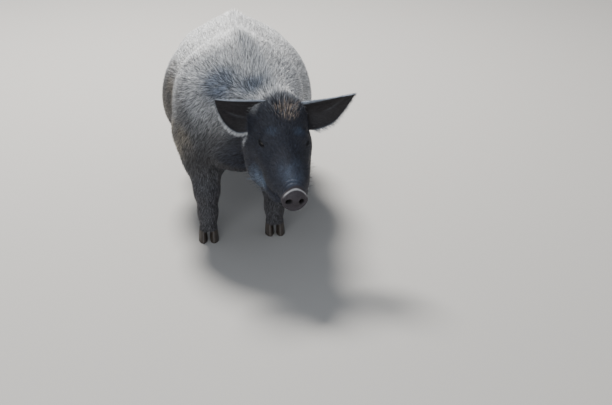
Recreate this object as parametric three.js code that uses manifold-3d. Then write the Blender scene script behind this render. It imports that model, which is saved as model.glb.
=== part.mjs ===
// A domestic pig standing with its head lowered, as a still, life-size model.
// Millimetres, +Z up. The nose points to -Y and the pig's own left side is +X.
// The flesh is one body of smoothly joined masses. Each sub-part is lofted on it and parted by thin cuts.
import * as THREE from "three";
import { mergeVertices } from "three/addons/utils/BufferGeometryUtils.js";
import Module from "manifold-3d";

const wasm = await Module();
wasm.setup();

// ---------------------------------------------------------------- driving sizes
const GAP = 1.0; // width of the thin cuts between sub-parts
const BODY_COAT = 6; // how far the tips of the coat stand off the skin
const FACE_COAT = 2.5;
const LEG_COAT = 4;
const LEG_TOP = 260; // below this height the coat shortens towards that of the legs
const SEARCH_STEP = 5; // coarse step of a search for the surface, refined by halving
const HALVINGS = 14;

const V = (x, y, z) => new THREE.Vector3(x, y, z);
const mirrored = (v, side) => V(v.x * side, v.y, v.z);
const radians = THREE.MathUtils.degToRad;
const SIDES = { right: -1, left: 1 };

// ---------------------------------------------------------------- masses
// Smooth least of two distances, rounding the junction over about k.
function smoothMin(a, b, k) {
  const h = Math.max(k - Math.abs(a - b), 0) / k;
  return Math.min(a, b) - h * h * k * 0.25;
}

// Distance to an ellipsoid whose length axis dips towards the tail by dip degrees.
function ellipsoid(p, centre, radii, dip) {
  const c = Math.cos(radians(dip));
  const s = Math.sin(radians(dip));
  const dx = p.x - centre.x;
  const dy = p.y - centre.y;
  const dz = p.z - centre.z;
  const along = dy * c - dz * s;
  const above = dy * s + dz * c;
  const scaled = Math.hypot(dx / radii.x, along / radii.y, above / radii.z);
  const slope = Math.hypot(dx / radii.x ** 2, along / radii.y ** 2, above / radii.z ** 2);
  return (scaled * (scaled - 1)) / Math.max(slope, 1e-9);
}

// Distance to a round taper from a to b whose radius goes from ra to rb.
function taper(p, a, b, ra, rb) {
  const bx = b.x - a.x;
  const by = b.y - a.y;
  const bz = b.z - a.z;
  const px = p.x - a.x;
  const py = p.y - a.y;
  const pz = p.z - a.z;
  const share = (px * bx + py * by + pz * bz) / (bx * bx + by * by + bz * bz);
  const t = Math.min(Math.max(share, 0), 1);
  return Math.hypot(px - bx * t, py - by * t, pz - bz * t) - (ra + (rb - ra) * t);
}

// A mass in the middle, or one of a pair at both sides.
const mass = (centre, radii, dip, blend) => ({ centre, radii, dip, blend });
function massField(p, masses, pairs) {
  let d = Infinity;
  for (const m of masses) d = smoothMin(d, ellipsoid(p, m.centre, m.radii, m.dip), m.blend);
  for (const m of pairs)
    for (const side of [-1, 1])
      d = smoothMin(d, ellipsoid(p, mirrored(m.centre, side), m.radii, m.dip), m.blend);
  return d;
}

// ---------------------------------------------------------------- trunk
const TRUNK = [
  mass(V(0, 130, 428), V(172, 235, 198), 0, 70), // chest
  mass(V(3, 370, 394), V(243, 330, 210), 3, 70), // barrel
  mass(V(6, 380, 342), V(226, 285, 120), 0, 60), // belly
  mass(V(4, 620, 416), V(196, 225, 148), 13, 70), // rump
  mass(V(0, 5, 336), V(106, 105, 82), -20, 50), // brisket
  mass(V(-2, 390, 430), V(95, 465, 190), 6, 55), // ridge of the back
];
const TRUNK_PAIRS = [
  mass(V(122, 84, 400), V(76, 125, 170), 12, 60), // shoulder
  mass(V(108, 700, 352), V(92, 135, 142), 20, 60), // ham
];
const trunkField = (p) => massField(p, TRUNK, TRUNK_PAIRS);

// ---------------------------------------------------------------- head
// The head has its own frame: origin between the eyes, nose along -Y, roof of the mouth level.
const HEAD_CENTRE = V(121, -215, 404);
const HEAD_YAW = 8; // nose to the pig's left, degrees
const HEAD_PITCH = 24; // nose down
const HEAD_ROLL = 4;
const headFrame = new THREE.Matrix4()
  .makeTranslation(HEAD_CENTRE)
  .multiply(new THREE.Matrix4().makeRotationZ(radians(HEAD_YAW)))
  .multiply(new THREE.Matrix4().makeRotationX(radians(HEAD_PITCH)))
  .multiply(new THREE.Matrix4().makeRotationY(radians(HEAD_ROLL)));
const toHead = headFrame.clone().invert();
const inHead = (x, y, z) => V(x, y, z).applyMatrix4(headFrame);

const HEAD = [
  mass(V(0, 66, 14), V(76, 88, 56), -14, 30), // skull
  mass(V(0, 92, 48), V(50, 36, 32), 0, 34), // crown
];
const HEAD_PAIRS = [
  mass(V(50, 26, -34), V(37, 76, 44), 0, 24), // cheek
  mass(V(32, -62, -40), V(32, 82, 30), 0, 26), // side of the muzzle
  mass(V(50, 62, -56), V(52, 78, 52), 0, 30), // back of the cheek
  mass(V(50, 14, -98), V(46, 88, 46), 0, 30), // jowl
  mass(V(36, -76, -80), V(30, 84, 34), 0, 26), // side of the lower jaw
  mass(V(44, 4, 22), V(21, 27, 12), 0, 14), // brow
];
const MUZZLE_FLATNESS = 0.87; // height of the muzzle's section over its width
const SNOUT_END = V(0, -204, -42); // centre of the snout's disc
const SNOUT_WIDTH = 80;
const SNOUT_HEIGHT = 70;
const SNOUT_TILT = 14; // the disc looks up from the line of the mouth by this, degrees
const SNOUT_DEPTH = 20; // from the disc's face to its parting from the muzzle
const EYE = V(59, -5, 7); // centre of the left eyeball
const EYE_RADIUS = 12.5;
const LID = { width: 30, height: 19, depth: 8, turn: 30 }; // the opening between the lids, turned forwards

function headField(world) {
  const p = world.clone().applyMatrix4(toHead);
  let d = massField(p, HEAD, HEAD_PAIRS);
  const flat = V(p.x * MUZZLE_FLATNESS, p.y, p.z);
  d = smoothMin(d, taper(flat, V(0, 10, -20), V(0, -180, -38), 57, 32), 30); // muzzle
  d = smoothMin(d, taper(flat, V(0, 40, 14), V(0, -170, -12), 24, 12), 24); // bridge of the nose
  return smoothMin(d, taper(flat, V(0, 40, -68), V(0, -148, -75), 46, 21), 22); // lower jaw
}

// ---------------------------------------------------------------- neck
const NAPE = [V(6, 80, 488), inHead(0, 92, 6)];
const NAPE_RADII = [140, 78];
const THROAT = [V(10, 40, 405), inHead(0, 66, -42)];
const THROAT_RADII = [112, 62];
function neckField(p) {
  return smoothMin(taper(p, ...NAPE, ...NAPE_RADII), taper(p, ...THROAT, ...THROAT_RADII), 50);
}

function torsoField(p) {
  return smoothMin(smoothMin(trunkField(p), neckField(p), 70), headField(p), 26);
}

// ---------------------------------------------------------------- limbs
// Joints from the inside of the trunk down to the pastern, on the left side, with radii.
const FORE_JOINTS = [V(118, 70, 340), V(114, 62, 250), V(109, 30, 160), V(108, 22, 90), V(108, 4, 48)];
const FORE_RADII = [84, 60, 39, 29, 28];
const HIND_JOINTS = [V(112, 665, 330), V(120, 672, 262), V(112, 766, 178), V(110, 758, 90), V(110, 736, 48)];
const HIND_RADII = [96, 74, 38, 28, 28];
const JOINT_BLEND = 16;
const LIMB_BLEND = 40;
// Steps of each foot towards the tail, and the slanted plane that parts each leg from the trunk.
const FORE_PARTING = { point: V(60, 60, 230), slope: { x: 0.5, y: -0.25 } };
const HIND_PARTING = { point: V(30, 640, 236), slope: { x: 0.32, y: 0.42 } };
function makeLimb(joints, radii, parting, spread, side, step) {
  const fromTop = (i) => i / (joints.length - 1);
  const { x, y } = parting.slope;
  return {
    side,
    radii,
    spread,
    joints: joints.map((j, i) => V(j.x * side, j.y + step * fromTop(i), j.z)),
    point: mirrored(parting.point, side),
    normal: V(-x * side, -y, 1).normalize(),
  };
}
const FORE_SPREAD = 42; // flesh below the parting plane and further from the limb stays with the trunk
const HIND_SPREAD = 95;
const LIMBS = {
  front_right: makeLimb(FORE_JOINTS, FORE_RADII, FORE_PARTING, FORE_SPREAD, SIDES.right, 0),
  front_left: makeLimb(FORE_JOINTS, FORE_RADII, FORE_PARTING, FORE_SPREAD, SIDES.left, 38),
  hind_right: makeLimb(HIND_JOINTS, HIND_RADII, HIND_PARTING, HIND_SPREAD, SIDES.right, 25),
  hind_left: makeLimb(HIND_JOINTS, HIND_RADII, HIND_PARTING, HIND_SPREAD, SIDES.left, -15),
};
const abovePlane = (p, limb) =>
  (p.x - limb.point.x) * limb.normal.x + (p.y - limb.point.y) * limb.normal.y + (p.z - limb.point.z) * limb.normal.z;

function limbField(p, limb) {
  let d = Infinity;
  for (let i = 1; i < limb.joints.length; i++)
    d = smoothMin(
      d,
      taper(p, limb.joints[i - 1], limb.joints[i], limb.radii[i - 1], limb.radii[i]),
      JOINT_BLEND,
    );
  return d;
}

// ---------------------------------------------------------------- the whole, out to the tips of the coat
function coatDepth(p) {
  const behindEyes = p.clone().applyMatrix4(toHead).y;
  const body = THREE.MathUtils.smoothstep(behindEyes, -20, 130);
  const leg = THREE.MathUtils.smoothstep(LEG_TOP - p.z, 0, 60) * body;
  return FACE_COAT + (BODY_COAT - FACE_COAT) * body + (LEG_COAT - BODY_COAT) * leg;
}
function fleshField(p) {
  let d = torsoField(p);
  for (const limb of Object.values(LIMBS)) d = smoothMin(d, limbField(p, limb), LIMB_BLEND);
  return d - coatDepth(p);
}
// The same with each limb ended a little below its parting plane.
const STUMP = 14;
function stumpedField(p) {
  let d = torsoField(p);
  for (const limb of Object.values(LIMBS))
    d = smoothMin(d, Math.max(limbField(p, limb), -STUMP - abovePlane(p, limb)), LIMB_BLEND);
  return d - coatDepth(p);
}

// ---------------------------------------------------------------- lofting on a field
const probe = new THREE.Vector3();
// Distance from origin along direction to the surface.
function reach(field, origin, direction) {
  let inside = 0;
  let outside = SEARCH_STEP;
  while (field(probe.copy(origin).addScaledVector(direction, outside)) < 0) {
    inside = outside;
    outside += SEARCH_STEP;
  }
  for (let i = 0; i < HALVINGS; i++) {
    const middle = (inside + outside) / 2;
    if (field(probe.copy(origin).addScaledVector(direction, middle)) < 0) inside = middle;
    else outside = middle;
  }
  return inside;
}

// One ring of points round a section's centre, in its plane, each at radiusAt(angle, direction).
function ringOf(section, segments, radiusAt) {
  return Array.from({ length: segments }, (_, j) => {
    const angle = (j / segments) * 2 * Math.PI;
    const direction = section.across.clone().multiplyScalar(Math.cos(angle));
    direction.addScaledVector(section.up, Math.sin(angle));
    return section.centre.clone().addScaledVector(direction, radiusAt(angle, direction));
  });
}
const surfaceRing = (field, section, segments) =>
  ringOf(section, segments, (_, direction) => reach(field, section.centre, direction));

// Triangle indices that join row i to row i + 1, each row closed on itself.
function closedRows(rows, columns) {
  const index = [];
  for (let i = 0; i < rows - 1; i++)
    for (let j = 0; j < columns; j++) {
      const a = i * columns + j;
      const b = i * columns + ((j + 1) % columns);
      index.push(a, b, a + columns, b, b + columns, a + columns);
    }
  return index;
}

// A closed solid through rings of points that run along across x up, with a flat fan at both ends.
function ringSolid(rings, sections) {
  const segments = rings[0].length;
  const last = (rings.length - 1) * segments;
  const start = rings.length * segments;
  const positions = rings.flat();
  positions.push(sections[0].centre, sections[sections.length - 1].centre);
  const index = closedRows(rings.length, segments);
  for (let j = 0; j < segments; j++) {
    const k = (j + 1) % segments;
    index.push(start, k, j, start + 1, last + j, last + k);
  }
  return solidFrom(positions, index);
}

// A closed sheet between a front and a back grid of points.
function sheetSolid(front, back) {
  const rows = front.length;
  const ring = [...front.keys()].map((i) => [...front[i], ...[...back[i]].reverse()]);
  const columns = ring[0].length;
  const index = closedRows(rows, columns);
  const end = (rows - 1) * columns;
  for (let j = 0; j < columns / 2 - 1; j++) {
    const k = columns - 1 - j;
    index.push(j, k, j + 1, j + 1, k, k - 1);
    index.push(end + j, end + j + 1, end + k, end + j + 1, end + k - 1, end + k);
  }
  return solidFrom(ring.flat(), index);
}

// ---------------------------------------------------------------- solids and booleans
function solidFrom(points, index) {
  const geometry = new THREE.BufferGeometry().setFromPoints(points);
  geometry.setIndex(index);
  return solidOf(geometry);
}
function solidOf(geometry) {
  const bare = new THREE.BufferGeometry();
  bare.setAttribute("position", geometry.getAttribute("position"));
  if (geometry.index) bare.setIndex(geometry.index);
  const merged = mergeVertices(bare, 1e-4);
  const mesh = new wasm.Mesh({
    numProp: 3,
    vertProperties: merged.attributes.position.array,
    triVerts: new Uint32Array(merged.index.array),
  });
  return new wasm.Manifold(mesh);
}
function geometryOf(solid) {
  const mesh = solid.getMesh();
  const geometry = new THREE.BufferGeometry();
  geometry.setAttribute("position", new THREE.BufferAttribute(new Float32Array(mesh.vertProperties), 3));
  geometry.setIndex(new THREE.BufferAttribute(new Uint32Array(mesh.triVerts), 1));
  return geometry;
}
// An upright block round a leg, from under the floor to the leg's parting plane, grown by grow.
function belowParting(limb, grow) {
  const WIDTH = 330;
  const LENGTH = 360;
  const middle = limb.joints[1].clone().lerp(limb.joints[2], 0.3);
  const planeHeight = (x, y) => middle.z - abovePlane(V(x, y, middle.z), limb) / limb.normal.z;
  const near = limb.side * (GAP * 2 - grow);
  const far = limb.side * (WIDTH + grow);
  const xs = [Math.min(near, far), Math.max(near, far)];
  const ys = [middle.y - LENGTH / 2 - grow, middle.y + LENGTH / 2 + grow];
  const corners = [[0, 0], [1, 0], [1, 1], [0, 1]].map(([i, j]) => [xs[i], ys[j]]);
  const floor = corners.map(([x, y]) => V(x, y, -GAP));
  const top = corners.map(([x, y]) => V(x, y, planeHeight(x, y) + grow));
  const centre = (points) => points.reduce((sum, v) => sum.add(v), V(0, 0, 0)).multiplyScalar(1 / points.length);
  return ringSolid([floor, top], [{ centre: centre(floor) }, { centre: centre(top) }]);
}

// ---------------------------------------------------------------- sections
const level = { across: V(1, 0, 0), up: V(0, 0, 1) };
const headAcross = V(1, 0, 0).transformDirection(headFrame);
const snoutBack = (depth) =>
  inHead(
    0,
    SNOUT_END.y + depth * Math.cos(radians(SNOUT_TILT)),
    SNOUT_END.z - depth * Math.sin(radians(SNOUT_TILT)),
  );

const NECK_START = { centre: V(8, 20, 430), across: level.across, up: level.up };
const NECK_LEAN = 30; // the head's parting from the neck leans back at the top by this, degrees
const CHEEK_LEAN = 13;
// A section of the head that leans back at the top.
const leaning = (centre, lean) => ({
  centre,
  across: headAcross,
  up: V(0, Math.sin(radians(lean)), Math.cos(radians(lean))).transformDirection(headFrame),
});
const NECK_END = leaning(inHead(0, 122, 4), NECK_LEAN);
const RUMP_MIDDLE = V(0, 700, 385);
const rumpEnd = RUMP_MIDDLE.y + reach(stumpedField, RUMP_MIDDLE, V(0, 1, 0)) - 0.3;
const TRUNK_KEYS = [
  { centre: V(0, rumpEnd, 385), ...level },
  { centre: V(0, 640, 400), ...level },
  { centre: V(0, 430, 410), ...level },
  { centre: V(0, 220, 420), ...level },
  NECK_START,
];
const NECK_TURN = 3; // half way along, the neck's section is turned to the left and tipped forwards by these
const NECK_TIP = 11.5;
const NECK_MIDDLE = {
  centre: V(52, -48, 424),
  across: V(Math.cos(radians(NECK_TURN)), -Math.sin(radians(NECK_TURN)), 0),
  up: V(0, -Math.sin(radians(NECK_TIP)), Math.cos(radians(NECK_TIP))),
};
const NECK_KEYS = [NECK_START, NECK_MIDDLE, NECK_END];
const HEAD_KEYS = [
  NECK_END,
  leaning(inHead(0, 40, -8), CHEEK_LEAN),
  leaning(inHead(0, -70, -26), 0),
  leaning(snoutBack(SNOUT_DEPTH), SNOUT_TILT),
];

// Sections at shares (0 to 1) of the way along some key sections.
function sectionsAt(keys, shares) {
  const line = new THREE.CatmullRomCurve3(keys.map((k) => k.centre));
  return shares.map((share) => {
    const along = share * (keys.length - 1);
    const i = Math.min(Math.floor(along), keys.length - 2);
    const across = keys[i].across.clone().lerp(keys[i + 1].across, along - i).normalize();
    const up = keys[i].up.clone().lerp(keys[i + 1].up, along - i);
    up.addScaledVector(across, -up.dot(across)).normalize();
    return { centre: line.getPoint(share), across, up };
  });
}
const evenShares = (count) => Array.from({ length: count + 1 }, (_, i) => i / count);
// Shares that crowd towards the start, for a rounded end there.
const crowdedShares = (count) => evenShares(count).map((t) => t * t * (2 - t));

// A loft on the field, its first and last section moved inwards by the given trims.
function loft(field, sections, segments, startTrim, endTrim) {
  const ends = [
    [sections[0], startTrim],
    [sections[sections.length - 1], -endTrim],
  ];
  for (const [section, trim] of ends) {
    const travel = section.across.clone().cross(section.up);
    section.centre.addScaledVector(travel, trim);
  }
  return ringSolid(
    sections.map((s) => surfaceRing(field, s, segments)),
    sections,
  );
}

// ---------------------------------------------------------------- trunk, neck and legs
const ROUND = 32; // points in each ring of the trunk, neck and head
const TRUNK_ROWS = 24;
function trunkSolid() {
  const sections = sectionsAt(TRUNK_KEYS, crowdedShares(TRUNK_ROWS));
  let trunk = loft(stumpedField, sections, ROUND, 0, GAP / 2);
  for (const limb of Object.values(LIMBS)) trunk = trunk.subtract(belowParting(limb, GAP / 2));
  return trunk;
}
function neckSolid() {
  const neck = loft(stumpedField, sectionsAt(NECK_KEYS, evenShares(6)), ROUND, GAP / 2, GAP / 2);
  const forelegs = [LIMBS.front_right, LIMBS.front_left];
  return forelegs.reduce((solid, limb) => solid.subtract(belowParting(limb, GAP / 2)), neck);
}

const PASTERN_END = 35; // the claws reach up to here
// A leg: rings in the parting plane at the top that come level at the foot.
function legSolid(limb) {
  const ROWS = 15;
  const SEGMENTS = 16;
  const OVER = 10; // the loft starts this far above the parting plane and is trimmed back to it
  const field = (p) => Math.max(fleshField(p), limbField(p, limb) - limb.spread, GAP - p.x * limb.side);
  const joints = limb.joints.map((j) => j.clone());
  joints[0] = joints[1].clone();
  joints[0].z += (OVER - abovePlane(joints[1], limb)) / limb.normal.z;
  joints[1] = joints[0].clone().lerp(joints[2], 0.35);
  const foot = joints[joints.length - 1];
  foot.z = PASTERN_END + GAP;
  const line = new THREE.CatmullRomCurve3(joints);
  const sections = evenShares(ROWS).map((share) => {
    const normal = limb.normal.clone().lerp(V(0, 0, 1), Math.min(share / 0.6, 1)).normalize();
    const across = V(1, 0, 0).addScaledVector(normal, -normal.x).normalize();
    return { centre: line.getPoint(share), across, up: across.clone().cross(normal) };
  });
  return loft(field, sections, SEGMENTS, 0, 0).intersect(belowParting(limb, -GAP / 2));
}

// ---------------------------------------------------------------- hooves
const CLAW = { length: 54, width: 31, height: PASTERN_END, topScale: 0.84, topBack: 11, forward: -9 };
const CLAW_SEGMENTS = 12;
// One claw: a flat sole, a toe that slopes back, and a flatter side against its neighbour.
function clawSolid(foot, outward) {
  const sections = [0, 0.5, 1].map((t) => ({
    centre: V(foot.x + outward * (CLAW.width / 2 + GAP), foot.y + CLAW.forward + CLAW.topBack * t, CLAW.height * t),
    across: V(1, 0, 0),
    up: V(0, 1, 0),
    scale: 1 - (1 - CLAW.topScale) * t * t,
  }));
  const rings = sections.map((s) =>
    Array.from({ length: CLAW_SEGMENTS }, (_, j) => {
      const angle = (j / CLAW_SEGMENTS) * 2 * Math.PI;
      const heelward = Math.sin(angle);
      const sideways = Math.cos(angle) * (1 - 0.25 * Math.max(-heelward, 0));
      const inner = sideways * outward < 0 ? 0.84 : 1;
      return V(
        s.centre.x + sideways * inner * s.scale * (CLAW.width / 2),
        s.centre.y + heelward * s.scale * (CLAW.length / 2),
        s.centre.z,
      );
    }),
  );
  return ringSolid(rings, sections);
}

// One dewclaw: a blunt cone that points back and down from behind the pastern.
const DEWCLAW_RADII = [7.5, 7.5, 3.5];
function dewclawSolid(foot, outward, grow) {
  const LENGTH = 24;
  const down = V(outward * 0.25, 0.75, -0.6).normalize();
  const across = V(1, 0, 0).addScaledVector(down, -down.x).normalize();
  const up = down.clone().cross(across);
  const start = V(foot.x + outward * 15, foot.y + 26, 62);
  const sections = DEWCLAW_RADII.map((radius, i) => ({
    centre: start.clone().addScaledVector(down, (LENGTH * i) / 2 + (i - 1) * grow),
    across,
    up,
    radius: radius + grow,
  }));
  return ringSolid(
    sections.map((s) => ringOf(s, 8, () => s.radius)),
    sections,
  );
}

// ---------------------------------------------------------------- head parts
const MOUTH_LINE = -69; // height of the mouth in the head's frame
const MOUTH_CORNER = -58;
function jawBox(grow) {
  const LENGTH = 118;
  const WIDTH = 260;
  const DEPTH = 120;
  const box = new THREE.BoxGeometry(WIDTH, LENGTH + 2 * grow, DEPTH);
  box.translate(0, MOUTH_CORNER - LENGTH / 2, MOUTH_LINE + grow - DEPTH / 2);
  return solidOf(box.applyMatrix4(headFrame));
}
function eyeSolid(side, grow) {
  const ball = new THREE.SphereGeometry(EYE_RADIUS + grow, 12, 8);
  ball.rotateZ(Math.PI / 2);
  ball.translate(EYE.x * side, EYE.y, EYE.z);
  return solidOf(ball.applyMatrix4(headFrame));
}
// The hollow between the lids, wider than the eyeball and in front of it.
function lidHollow(side) {
  const hollow = new THREE.SphereGeometry(1, 10, 7);
  hollow.rotateZ(Math.PI / 2);
  hollow.scale(LID.depth, LID.width / 2, LID.height / 2);
  hollow.translate(EYE_RADIUS * side, 0, 0).rotateZ(-radians(LID.turn) * side);
  hollow.translate(EYE.x * side, EYE.y, EYE.z);
  return solidOf(hollow.applyMatrix4(headFrame));
}

// The snout: a disc with a raised rim, rounder above and narrower below, with two nostrils.
const NOSTRIL = { side: 17, rise: 1, width: 8, height: 9.5, depth: 13 };
function snoutSolid() {
  const profile = [
    { depth: SNOUT_DEPTH - GAP, scale: 0.92 },
    { depth: 12, scale: 0.95 },
    { depth: 7, scale: 1 },
    { depth: 3, scale: 1 },
    { depth: 0, scale: 0.92 },
    { depth: 1.5, scale: 0.84 },
  ];
  const radiusAt = (angle, scale) => {
    const low = Math.max(-Math.sin(angle), 0);
    const width = (SNOUT_WIDTH / 2) * (1 - 0.16 * low);
    return scale / Math.hypot(Math.cos(angle) / width, Math.sin(angle) / (SNOUT_HEIGHT / 2));
  };
  const sections = profile.map((s) => ({ ...leaning(snoutBack(s.depth), SNOUT_TILT), scale: s.scale }));
  let snout = ringSolid(
    sections.map((s) => ringOf(s, 22, (angle) => radiusAt(angle, s.scale))),
    sections,
  );
  for (const side of [-1, 1]) {
    const plug = new THREE.CylinderGeometry(0.75, 1, NOSTRIL.depth * 2, 10);
    plug.scale(NOSTRIL.width, 1, NOSTRIL.height);
    plug.translate(NOSTRIL.side * side, 0, NOSTRIL.rise);
    plug.rotateX(-radians(SNOUT_TILT));
    plug.translate(SNOUT_END.x, SNOUT_END.y, SNOUT_END.z);
    snout = snout.subtract(solidOf(plug.applyMatrix4(headFrame)));
  }
  return snout;
}

// ---------------------------------------------------------------- ears
// Each ear is a cupped sheet: along runs to the tip, and down from the top edge to the lower edge.
// It opens forwards, turned downwards by turn at the root and by twist more at the tip.
// Each root is the inner end of the top edge, in the head's frame.
const EAR = { width: 112, thickness: 5, edge: 3, baseCup: 30, tipCup: 7 };
const EAR_SET = {
  right: { root: V(-55, 96, 82), length: 146, lift: 6, sweep: 12, turn: 2, twist: 8 },
  left: { root: V(76, 96, 74), length: 152, lift: 11, sweep: 12, turn: 2, twist: 62 },
};
function earSolid(name) {
  const ROWS = 9;
  const COLUMNS = 6;
  const side = SIDES[name];
  const set = EAR_SET[name];
  const lift = radians(set.lift);
  const sweep = radians(set.sweep);
  const along = V(side * Math.cos(sweep) * Math.cos(lift), -Math.sin(sweep) * Math.cos(lift), Math.sin(lift));
  const ahead = V(0, -1, 0).addScaledVector(along, along.y).normalize();
  const root = set.root.clone().applyMatrix4(headFrame);
  const pointAt = (u, v, thick) => {
    const t = Math.max(u, 0);
    const open = ahead.clone().applyAxisAngle(along, radians(set.turn + set.twist * t) * side);
    const down = along.clone().cross(open).multiplyScalar(side);
    const width = EAR.width * (1 - t ** 3.4) ** 0.9 * (0.82 + 0.18 * Math.min(t / 0.45, 1)) + 1;
    const cup = EAR.tipCup + (EAR.baseCup - EAR.tipCup) * (1 - t) ** 1.3;
    const back = cup * Math.sin(Math.PI * v) * (width / EAR.width);
    const half = (EAR.edge + (EAR.thickness - EAR.edge) * Math.sin(Math.PI * v)) / 2;
    return root
      .clone()
      .addScaledVector(along, set.length * u)
      .addScaledVector(down, width * v)
      .addScaledVector(open, thick * half - back);
  };
  const grid = (thick) =>
    evenShares(ROWS).map((row) => {
      const u = row * 1.2 - 0.2;
      return evenShares(COLUMNS).map((v) => pointAt(u, v, thick));
    });
  const front = grid(1);
  const back = grid(-1);
  return side > 0 ? sheetSolid(front, back) : sheetSolid(back, front);
}

// ---------------------------------------------------------------- tail
// The tail hangs from its root in a slight curve and ends in a tassel.
const TAIL_LINE = [V(0, 800, 470), V(2, 858, 448), V(8, 880, 380), V(13, 884, 305), V(10, 878, 245), V(6, 872, 212)];
const TAIL_RADII = [24, 17, 12, 9, 10, 3];
function tailSolid() {
  const ROWS = 14;
  const line = new THREE.CatmullRomCurve3(TAIL_LINE);
  const sections = evenShares(ROWS).map((share) => {
    const travel = line.getTangent(share);
    const across = V(1, 0, 0).addScaledVector(travel, -travel.x).normalize();
    const place = share * (TAIL_RADII.length - 1);
    const i = Math.min(Math.floor(place), TAIL_RADII.length - 2);
    const radius = THREE.MathUtils.lerp(TAIL_RADII[i], TAIL_RADII[i + 1], place - i);
    return { centre: line.getPoint(share), across, up: travel.clone().cross(across), radius };
  });
  return ringSolid(
    sections.map((s) => ringOf(s, 10, () => s.radius)),
    sections,
  );
}

// ---------------------------------------------------------------- assembly
const root = new THREE.Group();
root.name = "pig";
const COLORS = {
  back: 0x8d8b86,
  neck: 0x6f7076,
  face: 0x35353d,
  ear: 0x3b3a41,
  snout: 0x6d5f58,
  leg: 0x3a3a41,
  claw: 0x2a2624,
  eye: 0x1a1412,
};
function addPart(name, solid, color, roughness = 0.85) {
  const material = new THREE.MeshStandardMaterial({ color, roughness, metalness: 0 });
  const mesh = new THREE.Mesh(geometryOf(solid), material);
  mesh.name = name;
  root.add(mesh);
}

function addBody() {
  addPart("trunk", trunkSolid(), COLORS.back);
  addPart("neck", neckSolid(), COLORS.neck);
  const grownField = (p) => torsoField(p) - coatDepth(p) - GAP;
  const grown = loft(grownField, sectionsAt(TRUNK_KEYS, crowdedShares(TRUNK_ROWS)).slice(0, 13), ROUND, -GAP, 0);
  addPart("tail", tailSolid().subtract(grown), COLORS.leg);
}
function addHead() {
  const whole = loft(stumpedField, sectionsAt(HEAD_KEYS, evenShares(19)), ROUND, GAP / 2, GAP / 2);
  const grownField = (p) => stumpedField(p) - GAP;
  const KEYS = [NECK_KEYS[1], ...HEAD_KEYS];
  const grown = loft(grownField, sectionsAt(KEYS, evenShares(24)), ROUND, 0, 0);
  let head = whole.subtract(jawBox(GAP / 2));
  for (const [name, side] of Object.entries(SIDES)) {
    head = head.subtract(eyeSolid(side, GAP)).subtract(lidHollow(side));
    addPart("eye_" + name, eyeSolid(side, 0), COLORS.eye, 0.15);
    addPart("ear_" + name, earSolid(name).subtract(grown), COLORS.ear);
  }
  addPart("head", head, COLORS.face);
  addPart("jaw", whole.intersect(jawBox(-GAP / 2)), COLORS.face);
  addPart("snout", snoutSolid(), COLORS.snout, 0.5);
}
function addLegs() {
  for (const [name, limb] of Object.entries(LIMBS)) {
    const foot = limb.joints[limb.joints.length - 1];
    let leg = legSolid(limb);
    for (const [place, outward] of [["outer", limb.side], ["inner", -limb.side]]) {
      leg = leg.subtract(dewclawSolid(foot, outward, GAP));
      addPart(`hoof_${name}_${place}`, clawSolid(foot, outward), COLORS.claw, 0.4);
      addPart(`dewclaw_${name}_${place}`, dewclawSolid(foot, outward, 0), COLORS.claw, 0.4);
    }
    addPart("leg_" + name, leg, COLORS.leg);
  }
}
addBody();
addHead();
addLegs();

// The origin is put on the floor under the middle of the whole.
const bounds = new THREE.Box3().setFromObject(root);
const middle = bounds.getCenter(V(0, 0, 0));
for (const mesh of root.children) mesh.geometry.translate(-middle.x, -middle.y, -bounds.min.z);

export default root;
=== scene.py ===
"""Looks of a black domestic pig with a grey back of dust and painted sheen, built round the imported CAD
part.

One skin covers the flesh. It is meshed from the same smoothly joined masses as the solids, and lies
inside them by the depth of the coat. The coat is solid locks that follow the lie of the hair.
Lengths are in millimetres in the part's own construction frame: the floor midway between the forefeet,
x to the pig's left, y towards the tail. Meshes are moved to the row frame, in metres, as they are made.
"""

import math

import bmesh
import bpy
import numpy as np
import openvdb
from mathutils import Matrix, Vector


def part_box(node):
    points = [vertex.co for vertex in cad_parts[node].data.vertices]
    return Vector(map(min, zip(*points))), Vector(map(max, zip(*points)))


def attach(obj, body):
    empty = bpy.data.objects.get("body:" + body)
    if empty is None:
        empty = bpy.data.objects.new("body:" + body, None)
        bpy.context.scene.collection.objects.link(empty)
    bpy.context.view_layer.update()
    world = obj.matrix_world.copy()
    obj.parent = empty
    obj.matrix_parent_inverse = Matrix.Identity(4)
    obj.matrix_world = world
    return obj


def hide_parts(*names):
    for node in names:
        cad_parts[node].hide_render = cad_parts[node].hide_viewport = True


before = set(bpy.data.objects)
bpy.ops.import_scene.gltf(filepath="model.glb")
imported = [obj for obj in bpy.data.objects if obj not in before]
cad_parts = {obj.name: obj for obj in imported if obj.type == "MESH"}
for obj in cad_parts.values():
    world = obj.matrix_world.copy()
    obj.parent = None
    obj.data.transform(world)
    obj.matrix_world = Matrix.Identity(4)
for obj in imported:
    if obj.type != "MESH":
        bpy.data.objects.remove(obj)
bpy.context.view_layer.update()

MM = 0.001
SIDES = {"right": -1, "left": 1}
LIMB_NAMES = ("front_right", "front_left", "hind_right", "hind_left")

# The construction frame's origin in the row frame, from the claws of the right forefoot.
CLAW_MIDDLE_X = -108.0
CLAW_FRONT_Y = -32.0


def construction_origin():
    outer_low, outer_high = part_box("hoof_front_right_outer")
    inner_low, inner_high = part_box("hoof_front_right_inner")
    middle_x = (min(outer_low.x, inner_low.x) + max(outer_high.x, inner_high.x)) / 2
    return np.array([middle_x - CLAW_MIDDLE_X * MM, outer_low.y - CLAW_FRONT_Y * MM, 0.0])


ORIGIN = construction_origin()


def to_row(points):
    """Millimetres in the construction frame to metres in the row frame."""
    return np.asarray(points) * MM + ORIGIN


def linked(name, data):
    """A new object of the scene for this mesh, light or camera."""
    thing = bpy.data.objects.new(name, data)
    bpy.context.scene.collection.objects.link(thing)
    return thing


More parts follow.
